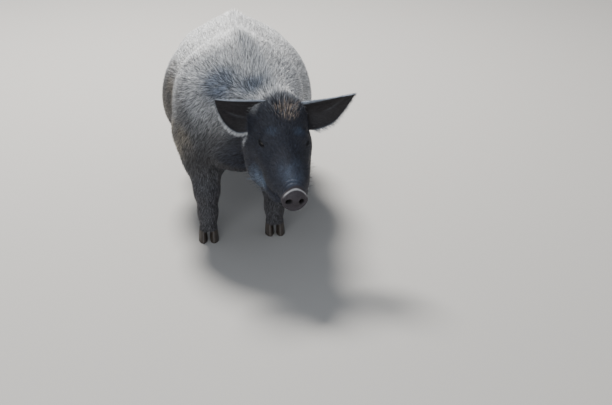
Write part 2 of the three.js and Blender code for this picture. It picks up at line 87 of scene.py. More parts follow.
# ---------------------------------------------------------------- camera
CAMERA_PLACE = (-103.3, -3544.5, 1600.0)
CAMERA_YAW = math.radians(5.0)  # turned to its right from straight along the pig
CAMERA_PITCH = math.radians(22.6)  # looks down by this
FOCAL_PIXELS = 1200.0
IMAGE_WIDTH = 612.0
SENSOR_WIDTH = 36.0
NEAREST_SEEN = 0.05


def add_camera():
    data = bpy.data.cameras.new("camera")
    data.sensor_width = SENSOR_WIDTH
    data.lens = FOCAL_PIXELS / IMAGE_WIDTH * SENSOR_WIDTH
    data.clip_start = NEAREST_SEEN
    camera = linked("camera", data)
    camera.location = Vector(to_row(CAMERA_PLACE))
    camera.rotation_euler = (math.pi / 2 - CAMERA_PITCH, 0.0, -CAMERA_YAW)
    bpy.context.scene.camera = camera


add_camera()


# ---------------------------------------------------------------- fields
FAR = 1e9  # farther than anything


def smooth_min(a, b, blend):
    h = np.maximum(blend - np.abs(a - b), 0) / blend
    return np.minimum(a, b) - h * h * blend * 0.25


def smooth_max(a, b, blend):
    return -smooth_min(-a, -b, blend)


def smoothstep(x, low, high):
    t = np.clip((x - low) / (high - low), 0, 1)
    return t * t * (3 - 2 * t)


def bump(x, middle, half_width):
    """1 at the middle, easing to 0 at half_width on both sides."""
    return 1 - smoothstep(np.abs(x - middle), 0, half_width)


def ellipsoid(p, centre, radii, dip=0.0):
    """Distance to an ellipsoid whose length axis dips towards the tail by dip degrees."""
    c, s = math.cos(math.radians(dip)), math.sin(math.radians(dip))
    d = p - np.array(centre, p.dtype)
    x, y, z = d[:, 0], d[:, 1] * c - d[:, 2] * s, d[:, 1] * s + d[:, 2] * c
    rx, ry, rz = radii
    scaled = np.sqrt((x / rx) ** 2 + (y / ry) ** 2 + (z / rz) ** 2)
    slope = np.sqrt((x / rx**2) ** 2 + (y / ry**2) ** 2 + (z / rz**2) ** 2)
    return scaled * (scaled - 1) / np.maximum(slope, 1e-9)


def taper(p, a, b, radius_a, radius_b):
    """Distance to a round taper from a to b."""
    a = np.array(a, p.dtype)
    axis = np.array(b, p.dtype) - a
    d = p - a
    t = np.clip(d @ axis / (axis @ axis), 0, 1)
    return np.linalg.norm(d - t[:, None] * axis, axis=1) - (radius_a + (radius_b - radius_a) * t)


def mirrored(point, side):
    return (point[0] * side, point[1], point[2])


def mass_field(p, masses, pairs):
    d = np.full(len(p), FAR, p.dtype)
    for centre, radii, dip, blend in masses:
        d = smooth_min(d, ellipsoid(p, centre, radii, dip), blend)
    for centre, radii, dip, blend in pairs:
        for side in (-1, 1):
            d = smooth_min(d, ellipsoid(p, mirrored(centre, side), radii, dip), blend)
    return d


# ---------------------------------------------------------------- trunk
TRUNK = [
    ((0, 130, 428), (172, 235, 198), 0, 70),  # chest
    ((3, 370, 394), (243, 330, 210), 3, 70),  # barrel
    ((6, 380, 342), (226, 285, 120), 0, 60),  # belly
    ((4, 620, 416), (196, 225, 148), 13, 70),  # rump
    ((0, 5, 336), (106, 105, 82), -20, 50),  # brisket
    ((-2, 390, 430), (95, 465, 190), 6, 55),  # ridge of the back
]
TRUNK_PAIRS = [
    ((122, 84, 400), (76, 125, 170), 12, 60),  # shoulder
    ((108, 700, 352), (92, 135, 142), 20, 60),  # ham
]


def trunk_field(p):
    return mass_field(p, TRUNK, TRUNK_PAIRS)


# ---------------------------------------------------------------- head
# The head's frame: origin between the eyes, nose along -Y, roof of the mouth level.
HEAD_CENTRE = np.array([121.0, -215.0, 404.0])
HEAD_YAW, HEAD_PITCH, HEAD_ROLL = 8.0, 24.0, 4.0
HEAD_TURN = np.array(
    Matrix.Rotation(math.radians(HEAD_YAW), 3, "Z")
    @ Matrix.Rotation(math.radians(HEAD_PITCH), 3, "X")
    @ Matrix.Rotation(math.radians(HEAD_ROLL), 3, "Y")
)


def in_head(point):
    """From the head's frame to the construction frame."""
    return np.asarray(point, float) @ HEAD_TURN.T + HEAD_CENTRE


def to_head(points):
    turn = HEAD_TURN.astype(points.dtype)
    return (points - HEAD_CENTRE.astype(points.dtype)) @ turn


# The forelegs stand this far below the head. They count as far behind it.
BELOW_HEAD_FROM, BELOW_HEAD_TO, FAR_BEHIND = 165, 240, 400


def back_along_head(q):
    """How far back along the head each point is, and far behind it for what stands below."""
    return q[:, 1] + FAR_BEHIND * smoothstep(-q[:, 2], BELOW_HEAD_FROM, BELOW_HEAD_TO)


HEAD = [
    ((0, 66, 14), (76, 88, 56), -14, 30),  # skull
    ((0, 92, 48), (50, 36, 32), 0, 34),  # crown
]
HEAD_PAIRS = [
    ((50, 26, -34), (37, 76, 44), 0, 24),  # cheek
    ((32, -62, -40), (32, 82, 30), 0, 26),  # side of the muzzle
    ((50, 62, -56), (52, 78, 52), 0, 30),  # back of the cheek
    ((50, 14, -98), (46, 88, 46), 0, 30),  # jowl
    ((36, -76, -80), (30, 84, 34), 0, 26),  # side of the lower jaw
    ((44, 4, 22), (21, 27, 12), 0, 14),  # brow
]
# Round tapers along the head's middle: both ends, the radius at each, and how softly they join.
HEAD_TAPERS = [
    ((0, 10, -20), (0, -180, -38), 57, 32, 30),  # muzzle
    ((0, 40, 14), (0, -170, -12), 24, 12, 24),  # bridge of the nose
    ((0, 40, -68), (0, -148, -75), 46, 21, 22),  # lower jaw
]
MUZZLE_FLATNESS = 0.87
SNOUT_END = np.array([0.0, -204.0, -42.0])
SNOUT_WIDTH, SNOUT_HEIGHT = 80.0, 70.0
SNOUT_TILT = math.radians(14)
SNOUT_DEPTH = 20.0
EYE = np.array([59.0, -5.0, 7.0])  # centre of the left eyeball
EYE_RADIUS = 12.5
NOSTRIL_SIDE, NOSTRIL_RISE, NOSTRIL_WIDTH, NOSTRIL_HEIGHT, NOSTRIL_DEPTH = 18.5, 1.5, 9.2, 10.2, 15.0


def plain_head_field(p):
    """The head's masses, from points in the head's frame."""
    d = mass_field(p, HEAD, HEAD_PAIRS)
    flat = p * np.array([MUZZLE_FLATNESS, 1, 1], p.dtype)
    for start, end, start_radius, end_radius, blend in HEAD_TAPERS:
        d = smooth_min(d, taper(flat, start, end, start_radius, end_radius), blend)
    return d


def snout_axes(p):
    """Sideways, depth behind the disc's face and height above its middle, of points in the head's frame."""
    d = p - SNOUT_END.astype(p.dtype)
    c, s = math.cos(SNOUT_TILT), math.sin(SNOUT_TILT)
    return d[:, 0], d[:, 1] * c - d[:, 2] * s, d[:, 1] * s + d[:, 2] * c


DISC_ROUNDING = 6.0  # of the disc's edge
DISC_DISH, DISC_RIDGE = 2.2, 1.2  # how far the face is sunk inside the rim, and the ridge down its middle
DISC_NARROWING = 0.16  # of the lower half
RIM_OVERHANG = 0.1  # the share by which the snout is narrower behind the rim
SNOUT_HIDDEN = 16  # the snout runs on this far inside the muzzle
SNOUT_INSET, SNOUT_BLEND = 0.5, 5


def snout_field(p):
    """The disc of the snout, with a raised rim and a groove behind it."""
    across, depth, high = snout_axes(p)
    low = np.clip(-high / (SNOUT_HEIGHT / 2), 0, 1)
    width = SNOUT_WIDTH / 2 * (1 - DISC_NARROWING * low)
    neck = 1 - RIM_OVERHANG * smoothstep(depth, 9, 19)
    radius = np.sqrt((across / width) ** 2 + (high / (SNOUT_HEIGHT / 2)) ** 2)
    side = (radius - neck) * SNOUT_HEIGHT / 2
    ridge = DISC_RIDGE * bump(across, 0, 9) * smoothstep(1 - radius, 0.1, 0.5)
    face = DISC_DISH * smoothstep(1 - radius, 0.04, 0.3) - ridge - depth
    return smooth_max(smooth_max(side, face, DISC_ROUNDING), depth - SNOUT_DEPTH - SNOUT_HIDDEN, 6)


def head_field(world):
    p = to_head(world)
    return smooth_min(plain_head_field(p), snout_field(p) + SNOUT_INSET, SNOUT_BLEND)


# ---------------------------------------------------------------- neck and torso
NAPE = [(6, 80, 488), tuple(in_head((0, 92, 6)))]
NAPE_RADII = (140, 78)
THROAT = [(10, 40, 405), tuple(in_head((0, 66, -42)))]
THROAT_RADII = (112, 62)
THROAT_BLEND, NECK_BLEND, HEAD_BLEND = 50, 70, 26


def neck_field(p):
    return smooth_min(taper(p, *NAPE, *NAPE_RADII), taper(p, *THROAT, *THROAT_RADII), THROAT_BLEND)


def torso_field(p):
    return smooth_min(smooth_min(trunk_field(p), neck_field(p), NECK_BLEND), head_field(p), HEAD_BLEND)


# ---------------------------------------------------------------- limbs
FORE_JOINTS = [(118, 70, 340), (114, 62, 250), (109, 30, 160), (108, 22, 90), (108, 4, 48)]
FORE_RADII = [84, 60, 39, 29, 28]
HIND_JOINTS = [(112, 665, 330), (120, 672, 262), (112, 766, 178), (110, 758, 90), (110, 736, 48)]
HIND_RADII = [96, 74, 38, 28, 28]
FOOT_STEPS = {"front_right": 0, "front_left": 38, "hind_right": 25, "hind_left": -15}
JOINT_BLEND = 16
LIMB_BLEND = 40
PASTERN_END = 33.0  # the skin ends here, just over the claws' tops


def limb_side(name):
    return SIDES[name.split("_")[1]]


def limb_joints(name):
    joints = FORE_JOINTS if name.startswith("front") else HIND_JOINTS
    side, step = limb_side(name), FOOT_STEPS[name]
    last = len(joints) - 1
    return np.array([(x * side, y + step * i / last, z) for i, (x, y, z) in enumerate(joints)], float)


LIMBS = {name: limb_joints(name) for name in LIMB_NAMES}


def limb_radii(name):
    return FORE_RADII if name.startswith("front") else HIND_RADII


def limb_field(p, name):
    joints, radii = LIMBS[name], limb_radii(name)
    d = np.full(len(p), FAR, p.dtype)
    for i in range(1, len(joints)):
        part = taper(p, joints[i - 1], joints[i], radii[i - 1], radii[i])
        d = smooth_min(d, part, JOINT_BLEND)
    return d


def flesh_field(p):
    """Distance to the bare skin, without folds."""
    d = torso_field(p)
    for name in LIMB_NAMES:
        d = smooth_min(d, limb_field(p, name), LIMB_BLEND)
    return d


# ---------------------------------------------------------------- folds and fine forms of the skin
def crease(p, line, width, depth):
    """A soft crease of that depth along a line of points."""
    d = np.full(len(p), FAR, p.dtype)
    for a, b in zip(line, line[1:]):
        d = np.minimum(d, taper(p, a, b, 0, 0))
    return depth * np.exp(-((d / width) ** 2))


def creases(p, folds):
    return sum(crease(p, *fold) for fold in folds)


def folded(q):
    """Points of the head's frame with its right half laid over its left."""
    return np.stack([np.abs(q[:, 0]), q[:, 1], q[:, 2]], 1)


def square_to(direction, axis):
    """The unit vector at right angles to a direction that is nearest to an axis of the frame."""
    vector = np.eye(3)[axis] - direction * direction[axis]
    return vector / np.linalg.norm(vector)


# The way that the left eye looks: out and forwards, and a little up.
EYE_TURN, EYE_RISE = math.radians(30), 0.12
EYE_OUT = np.array([math.cos(EYE_TURN), -math.sin(EYE_TURN), EYE_RISE])
EYE_OUT /= np.linalg.norm(EYE_OUT)
LID_THICKNESS, LID_BLEND = 2.6, 9


def eye_middle(side):
    return EYE * np.array([side, 1, 1])


def eye_directions(side):
    """Backwards, up and out of the eye's opening, in the head's frame."""
    outward = EYE_OUT * np.array([side, 1, 1])
    up = square_to(outward, 2)
    return np.cross(up, outward) * side, up, outward


def eye_axes(p, side):
    """How far backwards, up and out of one eye's opening the points of the head's frame lie."""
    d = p - eye_middle(side).astype(p.dtype)
    return [d @ direction.astype(p.dtype) for direction in eye_directions(side)]


def with_lids(d, p, side):
    """The skin drawn smoothly over the front of the eyeball."""
    backward, up, out = eye_axes(p, side)
    ball = np.sqrt(backward**2 + up**2 + out**2) - EYE_RADIUS
    return smooth_min(d, ball - LID_THICKNESS, LID_BLEND)


def waves(across, along, length):
    """Uneven wrinkles across a direction, -1 to 1."""
    bend = 0.9 * np.sin(across / 17.0) + 0.6 * np.sin(across / 7.3 + along / 31.0)
    return np.sin(along * 2 * math.pi / length + bend)


# Folds on the left of the face, mirrored on the right: a line in the head's frame, width and depth.
FACE_FOLDS = {
    "under the eye": [
        ([(73, -16, -9), (70, 0, -13), (74, 16, -10)], 2.4, 1.6),
        ([(66, -32, -8), (71, -12, -21), (76, 10, -24), (80, 28, -16)], 3.4, 1.6),
    ],
    "over the eye": [
        ([(52, -28, 12), (58, -12, 24), (64, 8, 26), (72, 24, 16)], 3.0, 2.0),
        ([(48, -20, 24), (53, 0, 37), (60, 18, 36)], 4.0, 1.3),
    ],
    "cheek": [([(84, 8, -36), (82, 40, -28), (92, 64, -20)], 6.0, 2.2)],
    "jowl": [([(60, -34, -66), (82, 10, -76), (94, 50, -84)], 8.0, 3.2)],
}
RING_DEPTH, NOSE_WRINKLE_DEPTH, BROW_DEPTH = 0.75, 0.22, 0.7
RING_LENGTH, NOSE_WRINKLE_LENGTH, BROW_LENGTH = 12.5, 9, 13  # from one wrinkle to the next


def face_forms(p):
    """Wrinkles and folds of the head: how far the skin is pressed in at points in the head's frame."""
    x, y, z = np.abs(p[:, 0]), p[:, 1], p[:, 2]
    top = smoothstep(z, -30, -5)
    rings = waves(p[:, 0], y + 0.10 * x, RING_LENGTH)
    pressed = RING_DEPTH * rings * bump(y, -172, 24) * smoothstep(z, -62, -30)
    patchy = 0.5 + 0.5 * np.sin(p[:, 0] / 13 + y / 19)
    pressed += NOSE_WRINKLE_DEPTH * patchy * waves(p[:, 0], y, NOSE_WRINKLE_LENGTH) * bump(y, -130, 50) * top
    brows = waves(p[:, 0], y + 0.35 * x, BROW_LENGTH)
    pressed += BROW_DEPTH * brows * bump(y, 26, 44) * bump(x, 14, 34) * top
    for folds in FACE_FOLDS.values():
        pressed += creases(folded(p), folds)
    return pressed


# The line between the lips on one side, from the middle of the chin to the corner, as depth and height.
MOUTH_LINE = [(-182, -72), (-166, -67), (-140, -64), (-110, -68), (-78, -66), (-60, -58)]
MOUTH_MIDDLE = (0, -186, -74)
MOUTH_WIDTH, MOUTH_DEPTH = 4.4, 7.5
WIDEST_CHEEK = 120.0


def cheek_width(depth, height):
    """How far the head's side is from its middle there."""
    inside, outside = 0.0, WIDEST_CHEEK
    while outside - inside > 0.1:
        middle = (inside + outside) / 2
        within = plain_head_field(np.array([[middle, depth, height]]))[0] < 0
        inside, outside = (middle, outside) if within else (inside, middle)
    return inside


MOUTH_PATH = [MOUTH_MIDDLE] + [(cheek_width(depth, height), depth, height) for depth, height in MOUTH_LINE]


def mouth_groove(p):
    """How far the line of the mouth is pressed in, in the head's frame."""
    return crease(folded(p), MOUTH_PATH, MOUTH_WIDTH, MOUTH_DEPTH)


# Folds on the left of the trunk, mirrored on the right: a line, width and depth.
BODY_FOLDS = [
    ([(150, 150, 250), (168, 165, 300), (176, 160, 350)], 16, 5),  # elbow
    ([(186, 196, 330), (182, 205, 430)], 30, 3),  # behind the shoulder
    ([(170, 560, 240), (200, 570, 310), (206, 560, 380)], 20, 7),  # flank
]
# Swellings and grooves round each foot: height, half height, and how far they are pressed in.
FOOT_RINGS = [(42, 7, -1.4), (56, 9, 1.2)]  # coronet, and the hollow over it
FOOT_REACH = 60
KNEE_WRINKLE_DEPTH, KNEE_WRINKLE_LENGTH, KNEE_WRINKLE_REACH = 0.7, 14, 42


def near_foot(p, foot):
    return np.linalg.norm(p[:, :2] - foot[:2].astype(p.dtype), axis=1) < FOOT_REACH


def body_forms(p):
    """Folds of the trunk and the legs: how far the skin is pressed in."""
    pressed = np.zeros(len(p), p.dtype)
    for side in (-1, 1):
        for line, width, depth in BODY_FOLDS:
            pressed += crease(p, [mirrored(point, side) for point in line], width, depth)
    for joints in LIMBS.values():
        knee, pastern, foot = joints[2], joints[3], joints[4]
        for height, half_height, depth in FOOT_RINGS:
            pressed += depth * bump(p[:, 2], height, half_height) * near_foot(p, foot)
        back_of_knee = (knee + (pastern - knee) * 0.35).astype(p.dtype)
        wrinkle = np.sin(p[:, 2] * 2 * math.pi / KNEE_WRINKLE_LENGTH) * KNEE_WRINKLE_DEPTH
        pressed += wrinkle * np.exp(-(np.linalg.norm(p - back_of_knee, axis=1) / KNEE_WRINKLE_REACH) ** 2)
    return pressed


# Folds that ring the throat and the side of the neck: height and place along the head's axis, width, depth.
NECK_FOLDS = [(0, 118, 20, 4.2), (10, 150, 24, 3.4)]
NECK_FOLD_SLANT = 0.45


def neck_folds(p):
    """Two soft folds that ring the throat and the side of the neck behind the jowls."""
    q = to_head(p)
    pressed = np.zeros(len(p), p.dtype)
    for height, back, width, depth in NECK_FOLDS:
        along = q[:, 1] - NECK_FOLD_SLANT * (q[:, 2] - height) - back
        low = smoothstep(-q[:, 2], -45, 25)
        pressed += depth * low * np.exp(-((along / width) ** 2)) * (q[:, 1] < 260)
    return pressed


CLEFT_DEPTH, CLEFT_WIDTH = 5, 5.5


def toe_cleft(p):
    """The groove between the two toes, at the front and back of each foot."""
    pressed = np.zeros(len(p), p.dtype)
    for joints in LIMBS.values():
        foot = joints[-1]
        across = (p[:, 0] - foot[0]) / CLEFT_WIDTH
        pressed += CLEFT_DEPTH * np.exp(-(across**2)) * bump(p[:, 2], 30, 36) * near_foot(p, foot)
    return pressed


def ended_at_claws(d, p):
    return smooth_max(d, PASTERN_END - p[:, 2], 7)


EYE_REACH = 40  # the lids change the skin this far round an eye


def skin_field(p):
    """Distance to the skin with its folds, the lids still closed and no nostrils."""
    head = to_head(p)
    d = flesh_field(p)
    near_head = smoothstep(-head[:, 1], -150, -90)
    d = d + (face_forms(head) + mouth_groove(head)) * near_head
    d = d + body_forms(p) + neck_folds(p) + toe_cleft(p)
    for side in (-1, 1):
        near = (np.abs(head - eye_middle(side).astype(p.dtype)) < EYE_REACH).all(1)
        if near.any():
            d[near] = with_lids(d[near], head[near], side)
    return ended_at_claws(d, p)


def shape_field(p):
    """The surface that is meshed first: without the folds, ended over the claws."""
    return ended_at_claws(flesh_field(p), p)


BLOCK_OF_POINTS = 400_000


def in_blocks(field, points, size=BLOCK_OF_POINTS):
    """A field over many points, worked out in blocks to keep the memory small."""
    return np.concatenate([field(points[i : i + size]) for i in range(0, len(points), size)])


def gradient(field, points, step):
    """The field's slope by differences to both sides."""
    slopes = np.empty_like(points)
    for axis in range(3):
        ahead, behind = points.copy(), points.copy()
        ahead[:, axis] += step
        behind[:, axis] -= step
        slopes[:, axis] = (in_blocks(field, ahead) - in_blocks(field, behind)) / (2 * step)
    return slopes


LEAST_SLOPE, LONGEST_MOVE = 0.15, 4.0


def onto_surface(field, points, rounds, step):
    """Moves points onto the field's surface along its slope, by at most a few millimetres each round."""
    points = points.copy()
    for _ in range(rounds):
        value = in_blocks(field, points)
        slope = gradient(field, points, step)
        move = -(value / np.maximum((slope**2).sum(1), LEAST_SLOPE))[:, None] * slope
        length = np.linalg.norm(move, axis=1)
        points += move * np.minimum(1, LONGEST_MOVE / np.maximum(length, 1e-6))[:, None]
    return points


# ---------------------------------------------------------------- openings, pressed into the meshed skin
# Of the opening between the lids: half its width, and its height over and under the middle.
OPENING_WIDTH, OPENING_UP, OPENING_DOWN = 14.0, 6.4, 5.6
SLIT_TILT = 0.2  # the inner corner lies lower
SLIT_DEPTH = 6.5
LID_EDGE, LID_FOLD = 1.1, 0.9  # height of the lids' rims, and depth of the upper lid's fold
NOSTRIL_TILT, NOSTRIL_LIP = 0.3, 0.9


def slit_place(backward, up):
    """0 at the middle of the opening between the lids and 1 at its edge."""
    tilted = up - SLIT_TILT * backward
    height = np.where(tilted > 0, OPENING_UP, OPENING_DOWN)
    return np.sqrt((backward / OPENING_WIDTH) ** 2 + (tilted / height) ** 2)


def nostril_place(across, high, side):
    """0 at the middle of a nostril and 1 at its edge."""
    x = (across - NOSTRIL_SIDE * side) / NOSTRIL_WIDTH
    z = (high - NOSTRIL_RISE + NOSTRIL_TILT * (across * side - NOSTRIL_SIDE)) / NOSTRIL_HEIGHT
    return np.sqrt(x * x + z * z)


def nearer_nostril(across, high):
    return np.minimum(nostril_place(across, high, -1), nostril_place(across, high, 1))


def press_openings(points):
    """Opens the lids over the eyeballs and hollows the nostrils."""
    q = to_head(points)
    for side in (-1, 1):
        backward, up, out = eye_axes(q, side)
        outward = eye_directions(side)[2]
        place = slit_place(backward, up)
        front = smoothstep(out, 0, 4)
        pressed = SLIT_DEPTH * (1 - smoothstep(place, 0.8, 1.0)) - LID_EDGE * bump(place, 1.12, 0.2)
        pressed += LID_FOLD * bump(place, 1.55, 0.22) * (up > 0)
        q -= outward * (pressed * front * (place < 2))[:, None]
    inward = np.array([0.0, math.cos(SNOUT_TILT), -math.sin(SNOUT_TILT)])
    across, depth, high = snout_axes(q)
    for side in (-1, 1):
        place = nostril_place(across, high, side)
        pressed = NOSTRIL_DEPTH * (1 - smoothstep(place, 0.5, 1.02)) - NOSTRIL_LIP * bump(place, 1.2, 0.3)
        q += inward * (pressed * (depth < 8) * (place < 2))[:, None]
    return in_head(q)


# ---------------------------------------------------------------- meshing the skin
CELL = 9.0  # width of the body's mesh cells
BLOCK = 8  # cells to a block of the search for the surface
GRID_LOW = np.array([-300.0, -470.0, 20.0])
GRID_HIGH = np.array([300.0, 900.0, 690.0])
STEEPEST = 1.35  # the field changes by no more than this for each millimetre
REACH_MARGIN = 12


def counted(shape):
    """Every place in a grid of that shape, one to a row."""
    return np.stack(np.meshgrid(*[np.arange(n) for n in shape], indexing="ij"), -1).reshape(-1, 3)


def surface_quads():
    """Points and quads of the shape field's surface on a regular grid, worked out near the surface only."""
    blocks = np.ceil((GRID_HIGH - GRID_LOW) / (CELL * BLOCK)).astype(int)
    corners = counted(blocks)
    middles = GRID_LOW + (corners + 0.5) * BLOCK * CELL
    reach = CELL * BLOCK * math.sqrt(3) / 2 * STEEPEST + REACH_MARGIN
    values = in_blocks(shape_field, middles.astype(np.float32))
    near = np.abs(values) < reach
    grid = values.reshape(tuple(blocks)).astype(np.float32)
    for axis in range(3):
        grid = np.repeat(grid, BLOCK, axis)
    cells = (corners[near][:, None, :] * BLOCK + counted([BLOCK] * 3)[None]).reshape(-1, 3)
    grid[tuple(cells.T)] = in_blocks(shape_field, (GRID_LOW + cells * CELL).astype(np.float32))
    level_set = openvdb.FloatGrid(1e3)
    level_set.copyFromArray(grid)
    points, quads = level_set.convertToQuads(0.0)
    return GRID_LOW + points.astype(float) * CELL, quads.astype(int)


def new_mesh(name, points, faces):
    """A closed mesh with its faces turned outwards."""
    mesh = bpy.data.meshes.new(name)
    mesh.from_pydata(to_row(points).tolist(), [], [list(map(int, f)) for f in faces])
    mesh.validate()
    bm = bmesh.new()
    bm.from_mesh(mesh)
    if bm.calc_volume(signed=True) < 0:
        bmesh.ops.reverse_faces(bm, faces=bm.faces)
        bm.to_mesh(mesh)
    bm.free()
    mesh.update()
    return mesh


def mesh_points(mesh):
    """A mesh's vertices in the construction frame."""
    co = np.empty(len(mesh.vertices) * 3)
    mesh.vertices.foreach_get("co", co)
    return (co.reshape(-1, 3) - ORIGIN) / MM


def set_mesh_points(mesh, points):
    mesh.vertices.foreach_set("co", to_row(points).ravel())
    mesh.update()


def refine(mesh, wanted):
    """Halves the edges whose two ends both satisfy wanted(points)."""
    points = mesh_points(mesh)
    chosen = wanted(points)
    bm = bmesh.new()
    bm.from_mesh(mesh)
    bm.verts.ensure_lookup_table()
    edges = [e for e in bm.edges if chosen[e.verts[0].index] and chosen[e.verts[1].index]]
    bmesh.ops.subdivide_edges(bm, edges=edges, cuts=1, use_grid_fill=True)
    bm.to_mesh(mesh)
    bm.free()


FACE_BACK, CHIN_FOOT = 112, -130  # where the face ends, in the head's frame
BROW_BACK, LIP_FOOT = 46, -92
SNOUT_FRONT = -182
NEAR_EYE, AT_LIDS, AT_NOSTRIL = 26, 17.5, 1.5
FOOT_TOP = 120


def face_zone(p):
    q = to_head(p)
    return (q[:, 1] < FACE_BACK) & (q[:, 2] > CHIN_FOOT)


def front_zone(p):
    """The face in front of the ears, without the throat."""
    q = to_head(p)
    return (q[:, 1] < BROW_BACK) & (q[:, 2] > LIP_FOOT)


def eye_distance(q):
    """Distance from the middle of the nearer eye's opening, of points in the head's frame."""
    return np.linalg.norm(folded(q) - EYE - EYE_OUT * EYE_RADIUS, axis=1)


def detail_zone(p):
    """Round the eyes and the disc of the snout."""
    q = to_head(p)
    return (eye_distance(q) < NEAR_EYE) | (q[:, 1] < SNOUT_FRONT)


def edge_zone(p):
    """Round the lids' opening and the nostrils."""
    q = to_head(p)
    across, depth, high = snout_axes(q)
    return (eye_distance(q) < AT_LIDS) | ((nearer_nostril(across, high) < AT_NOSTRIL) & (depth < 12))


def foot_zone(p):
    return p[:, 2] < FOOT_TOP


# ---------------------------------------------------------------- ears
EAR_WIDTH, EAR_BASE_CUP, EAR_TIP_CUP = 112.0, 30.0, 7.0
EAR_THICKNESS, EAR_EDGE = 3.4, 1.6  # of the skin, without the hair
EAR_SET = {
    "right": {"root": (-55, 96, 82), "length": 146, "lift": 6, "sweep": 12, "turn": 2, "twist": 8},
    "left": {"root": (76, 96, 74), "length": 152, "lift": 11, "sweep": 12, "turn": 2, "twist": 62},
}


def turned(vectors, axis, angles):
    """Vectors turned about an axis, each by its own angle."""
    c, s = np.cos(angles)[:, None], np.sin(angles)[:, None]
    return vectors * c + np.cross(axis, vectors) * s + axis * (vectors @ axis)[:, None] * (1 - c)


def ear_frame(name, t):
    """The way to the tip, and at each share t of the length the ways that it opens and down its width."""
    side, ear = SIDES[name], EAR_SET[name]
    lift, sweep = math.radians(ear["lift"]), math.radians(ear["sweep"])
    level = math.cos(lift)
    along = np.array([side * math.cos(sweep) * level, -math.sin(sweep) * level, math.sin(lift)])
    ahead = -square_to(along, 1)
    angles = np.radians(ear["turn"] + ear["twist"] * np.asarray(t)) * side
    opening = turned(np.tile(ahead, (len(angles), 1)), along, angles)
    down = np.cross(along, opening) * side
    return along, opening, down


EAR_START = -0.12  # the sheet starts inside the head
EAR_TIP_POWER, EAR_TIP_ROUNDING = 3.4, 0.9
EAR_ROOT_SHARE, EAR_GROWTH = 0.82, 0.18  # of the full width: what the root has, and what is added
EAR_WIDEST = 0.45  # along the ear
EAR_ROOT_SWELLING, EAR_SWELLING_LENGTH = 2.2, 0.16
EAR_RIB, EAR_RIBS, EAR_RIB_SLANT = 1.5, 17, 3
EAR_RIM, EAR_RIM_WIDTH = 2.2, 0.07


def ear_width(t):
    at_root = EAR_ROOT_SHARE + EAR_GROWTH * np.minimum(t / EAR_WIDEST, 1)
    return EAR_WIDTH * (1 - t**EAR_TIP_POWER) ** EAR_TIP_ROUNDING * at_root + 1


def ear_hollow(t, v, width):
    """How far the cupped sheet lies behind its edges."""
    cup = EAR_TIP_CUP + (EAR_BASE_CUP - EAR_TIP_CUP) * (1 - t) ** 1.3
    return cup * np.sin(np.pi * v) * width / EAR_WIDTH


def ear_points(name, u, v, thick):
    """Points of an ear: u along it, v from its top edge to its lower, and thick from -1 at its back to 1."""
    ear = EAR_SET[name]
    t = np.maximum(u, 0)
    along, opening, down = ear_frame(name, t)
    width = ear_width(t)
    half = (EAR_EDGE + (EAR_THICKNESS - EAR_EDGE) * np.sin(np.pi * v)) / 2
    half = half + EAR_ROOT_SWELLING * np.exp(-(((u - EAR_START) / EAR_SWELLING_LENGTH) ** 2))
    ribs = EAR_RIB * np.sin(v * EAR_RIBS + EAR_RIB_SLANT * u) * np.sin(np.pi * v) * (1 - t) * t * 4
    near_edges = np.exp(-((v / EAR_RIM_WIDTH) ** 2)) + np.exp(-(((1 - v) / EAR_RIM_WIDTH) ** 2))
    rim_curl = EAR_RIM * near_edges * (1 - t**4)
    place = in_head(ear["root"]) + along * (ear["length"] * u)[:, None] + down * (width * v)[:, None]
    return place + opening * (thick * half - ear_hollow(t, v, width) + ribs + rim_curl)[:, None]


def ear_place(name, points):
    """Where points lie on an ear: the shares u and v of its length and width, and how far in front of it."""
    ear = EAR_SET[name]
    d = points - in_head(ear["root"])
    along = ear_frame(name, np.zeros(1))[0]
    u = d @ along / ear["length"]
    t = np.clip(u, 0, 1)
    _, opening, down = ear_frame(name, t)
    width = ear_width(t)
    v = (d * down).sum(1) / width
    return u, v, (d * opening).sum(1) + ear_hollow(t, np.clip(v, 0, 1), width)


EAR_ROWS, EAR_COLUMNS = 72, 44
EDGE_CROWDING = 0.35  # how much closer the columns lie at the ear's edges


def ear_grid(name, thick):
    u = np.linspace(EAR_START, 1, EAR_ROWS)
    crowded = (1 - np.cos(np.linspace(0, math.pi, EAR_COLUMNS))) / 2
    v = crowded * EDGE_CROWDING + np.linspace(0, 1, EAR_COLUMNS) * (1 - EDGE_CROWDING)
    uu, vv = np.meshgrid(u, v, indexing="ij")
    return ear_points(name, uu.ravel(), vv.ravel(), thick).reshape(EAR_ROWS, EAR_COLUMNS, 3)


def tube_faces(rows, columns):
    """Quads between rings of points, and a fan of one n-gon at each end."""
    i, j = np.meshgrid(np.arange(rows - 1), np.arange(columns), indexing="ij")
    a = (i * columns + j).ravel()
    b = (i * columns + (j + 1) % columns).ravel()
    quads = np.stack([a, b, b + columns, a + columns], 1).tolist()
    return quads + [list(range(columns))[::-1], list(range((rows - 1) * columns, rows * columns))]


def ear_mesh(name):
    """The closed sheet of one ear."""
    ring = np.concatenate([ear_grid(name, 1.0), ear_grid(name, -1.0)[:, ::-1]], 1)
    if SIDES[name] > 0:
        ring = ring[:, ::-1]
    return new_mesh("ear_" + name, ring.reshape(-1, 3), tube_faces(EAR_ROWS, ring.shape[1]))


# ---------------------------------------------------------------- tail
TAIL_LINE = np.array(
    [
        (0, 775, 470),
        (0, 800, 470),
        (2, 858, 448),
        (8, 880, 380),
        (13, 884, 305),
        (10, 878, 245),
        (6, 872, 218),
    ],
    float,
)
TAIL_RADII = np.array([27, 21, 13, 8, 5.5, 4.5, 3.5])
TAIL_ROWS, TAIL_COLUMNS = 90, 20
TAIL_WRINKLE, TAIL_WRINKLE_TURN = 0.035, 1.9


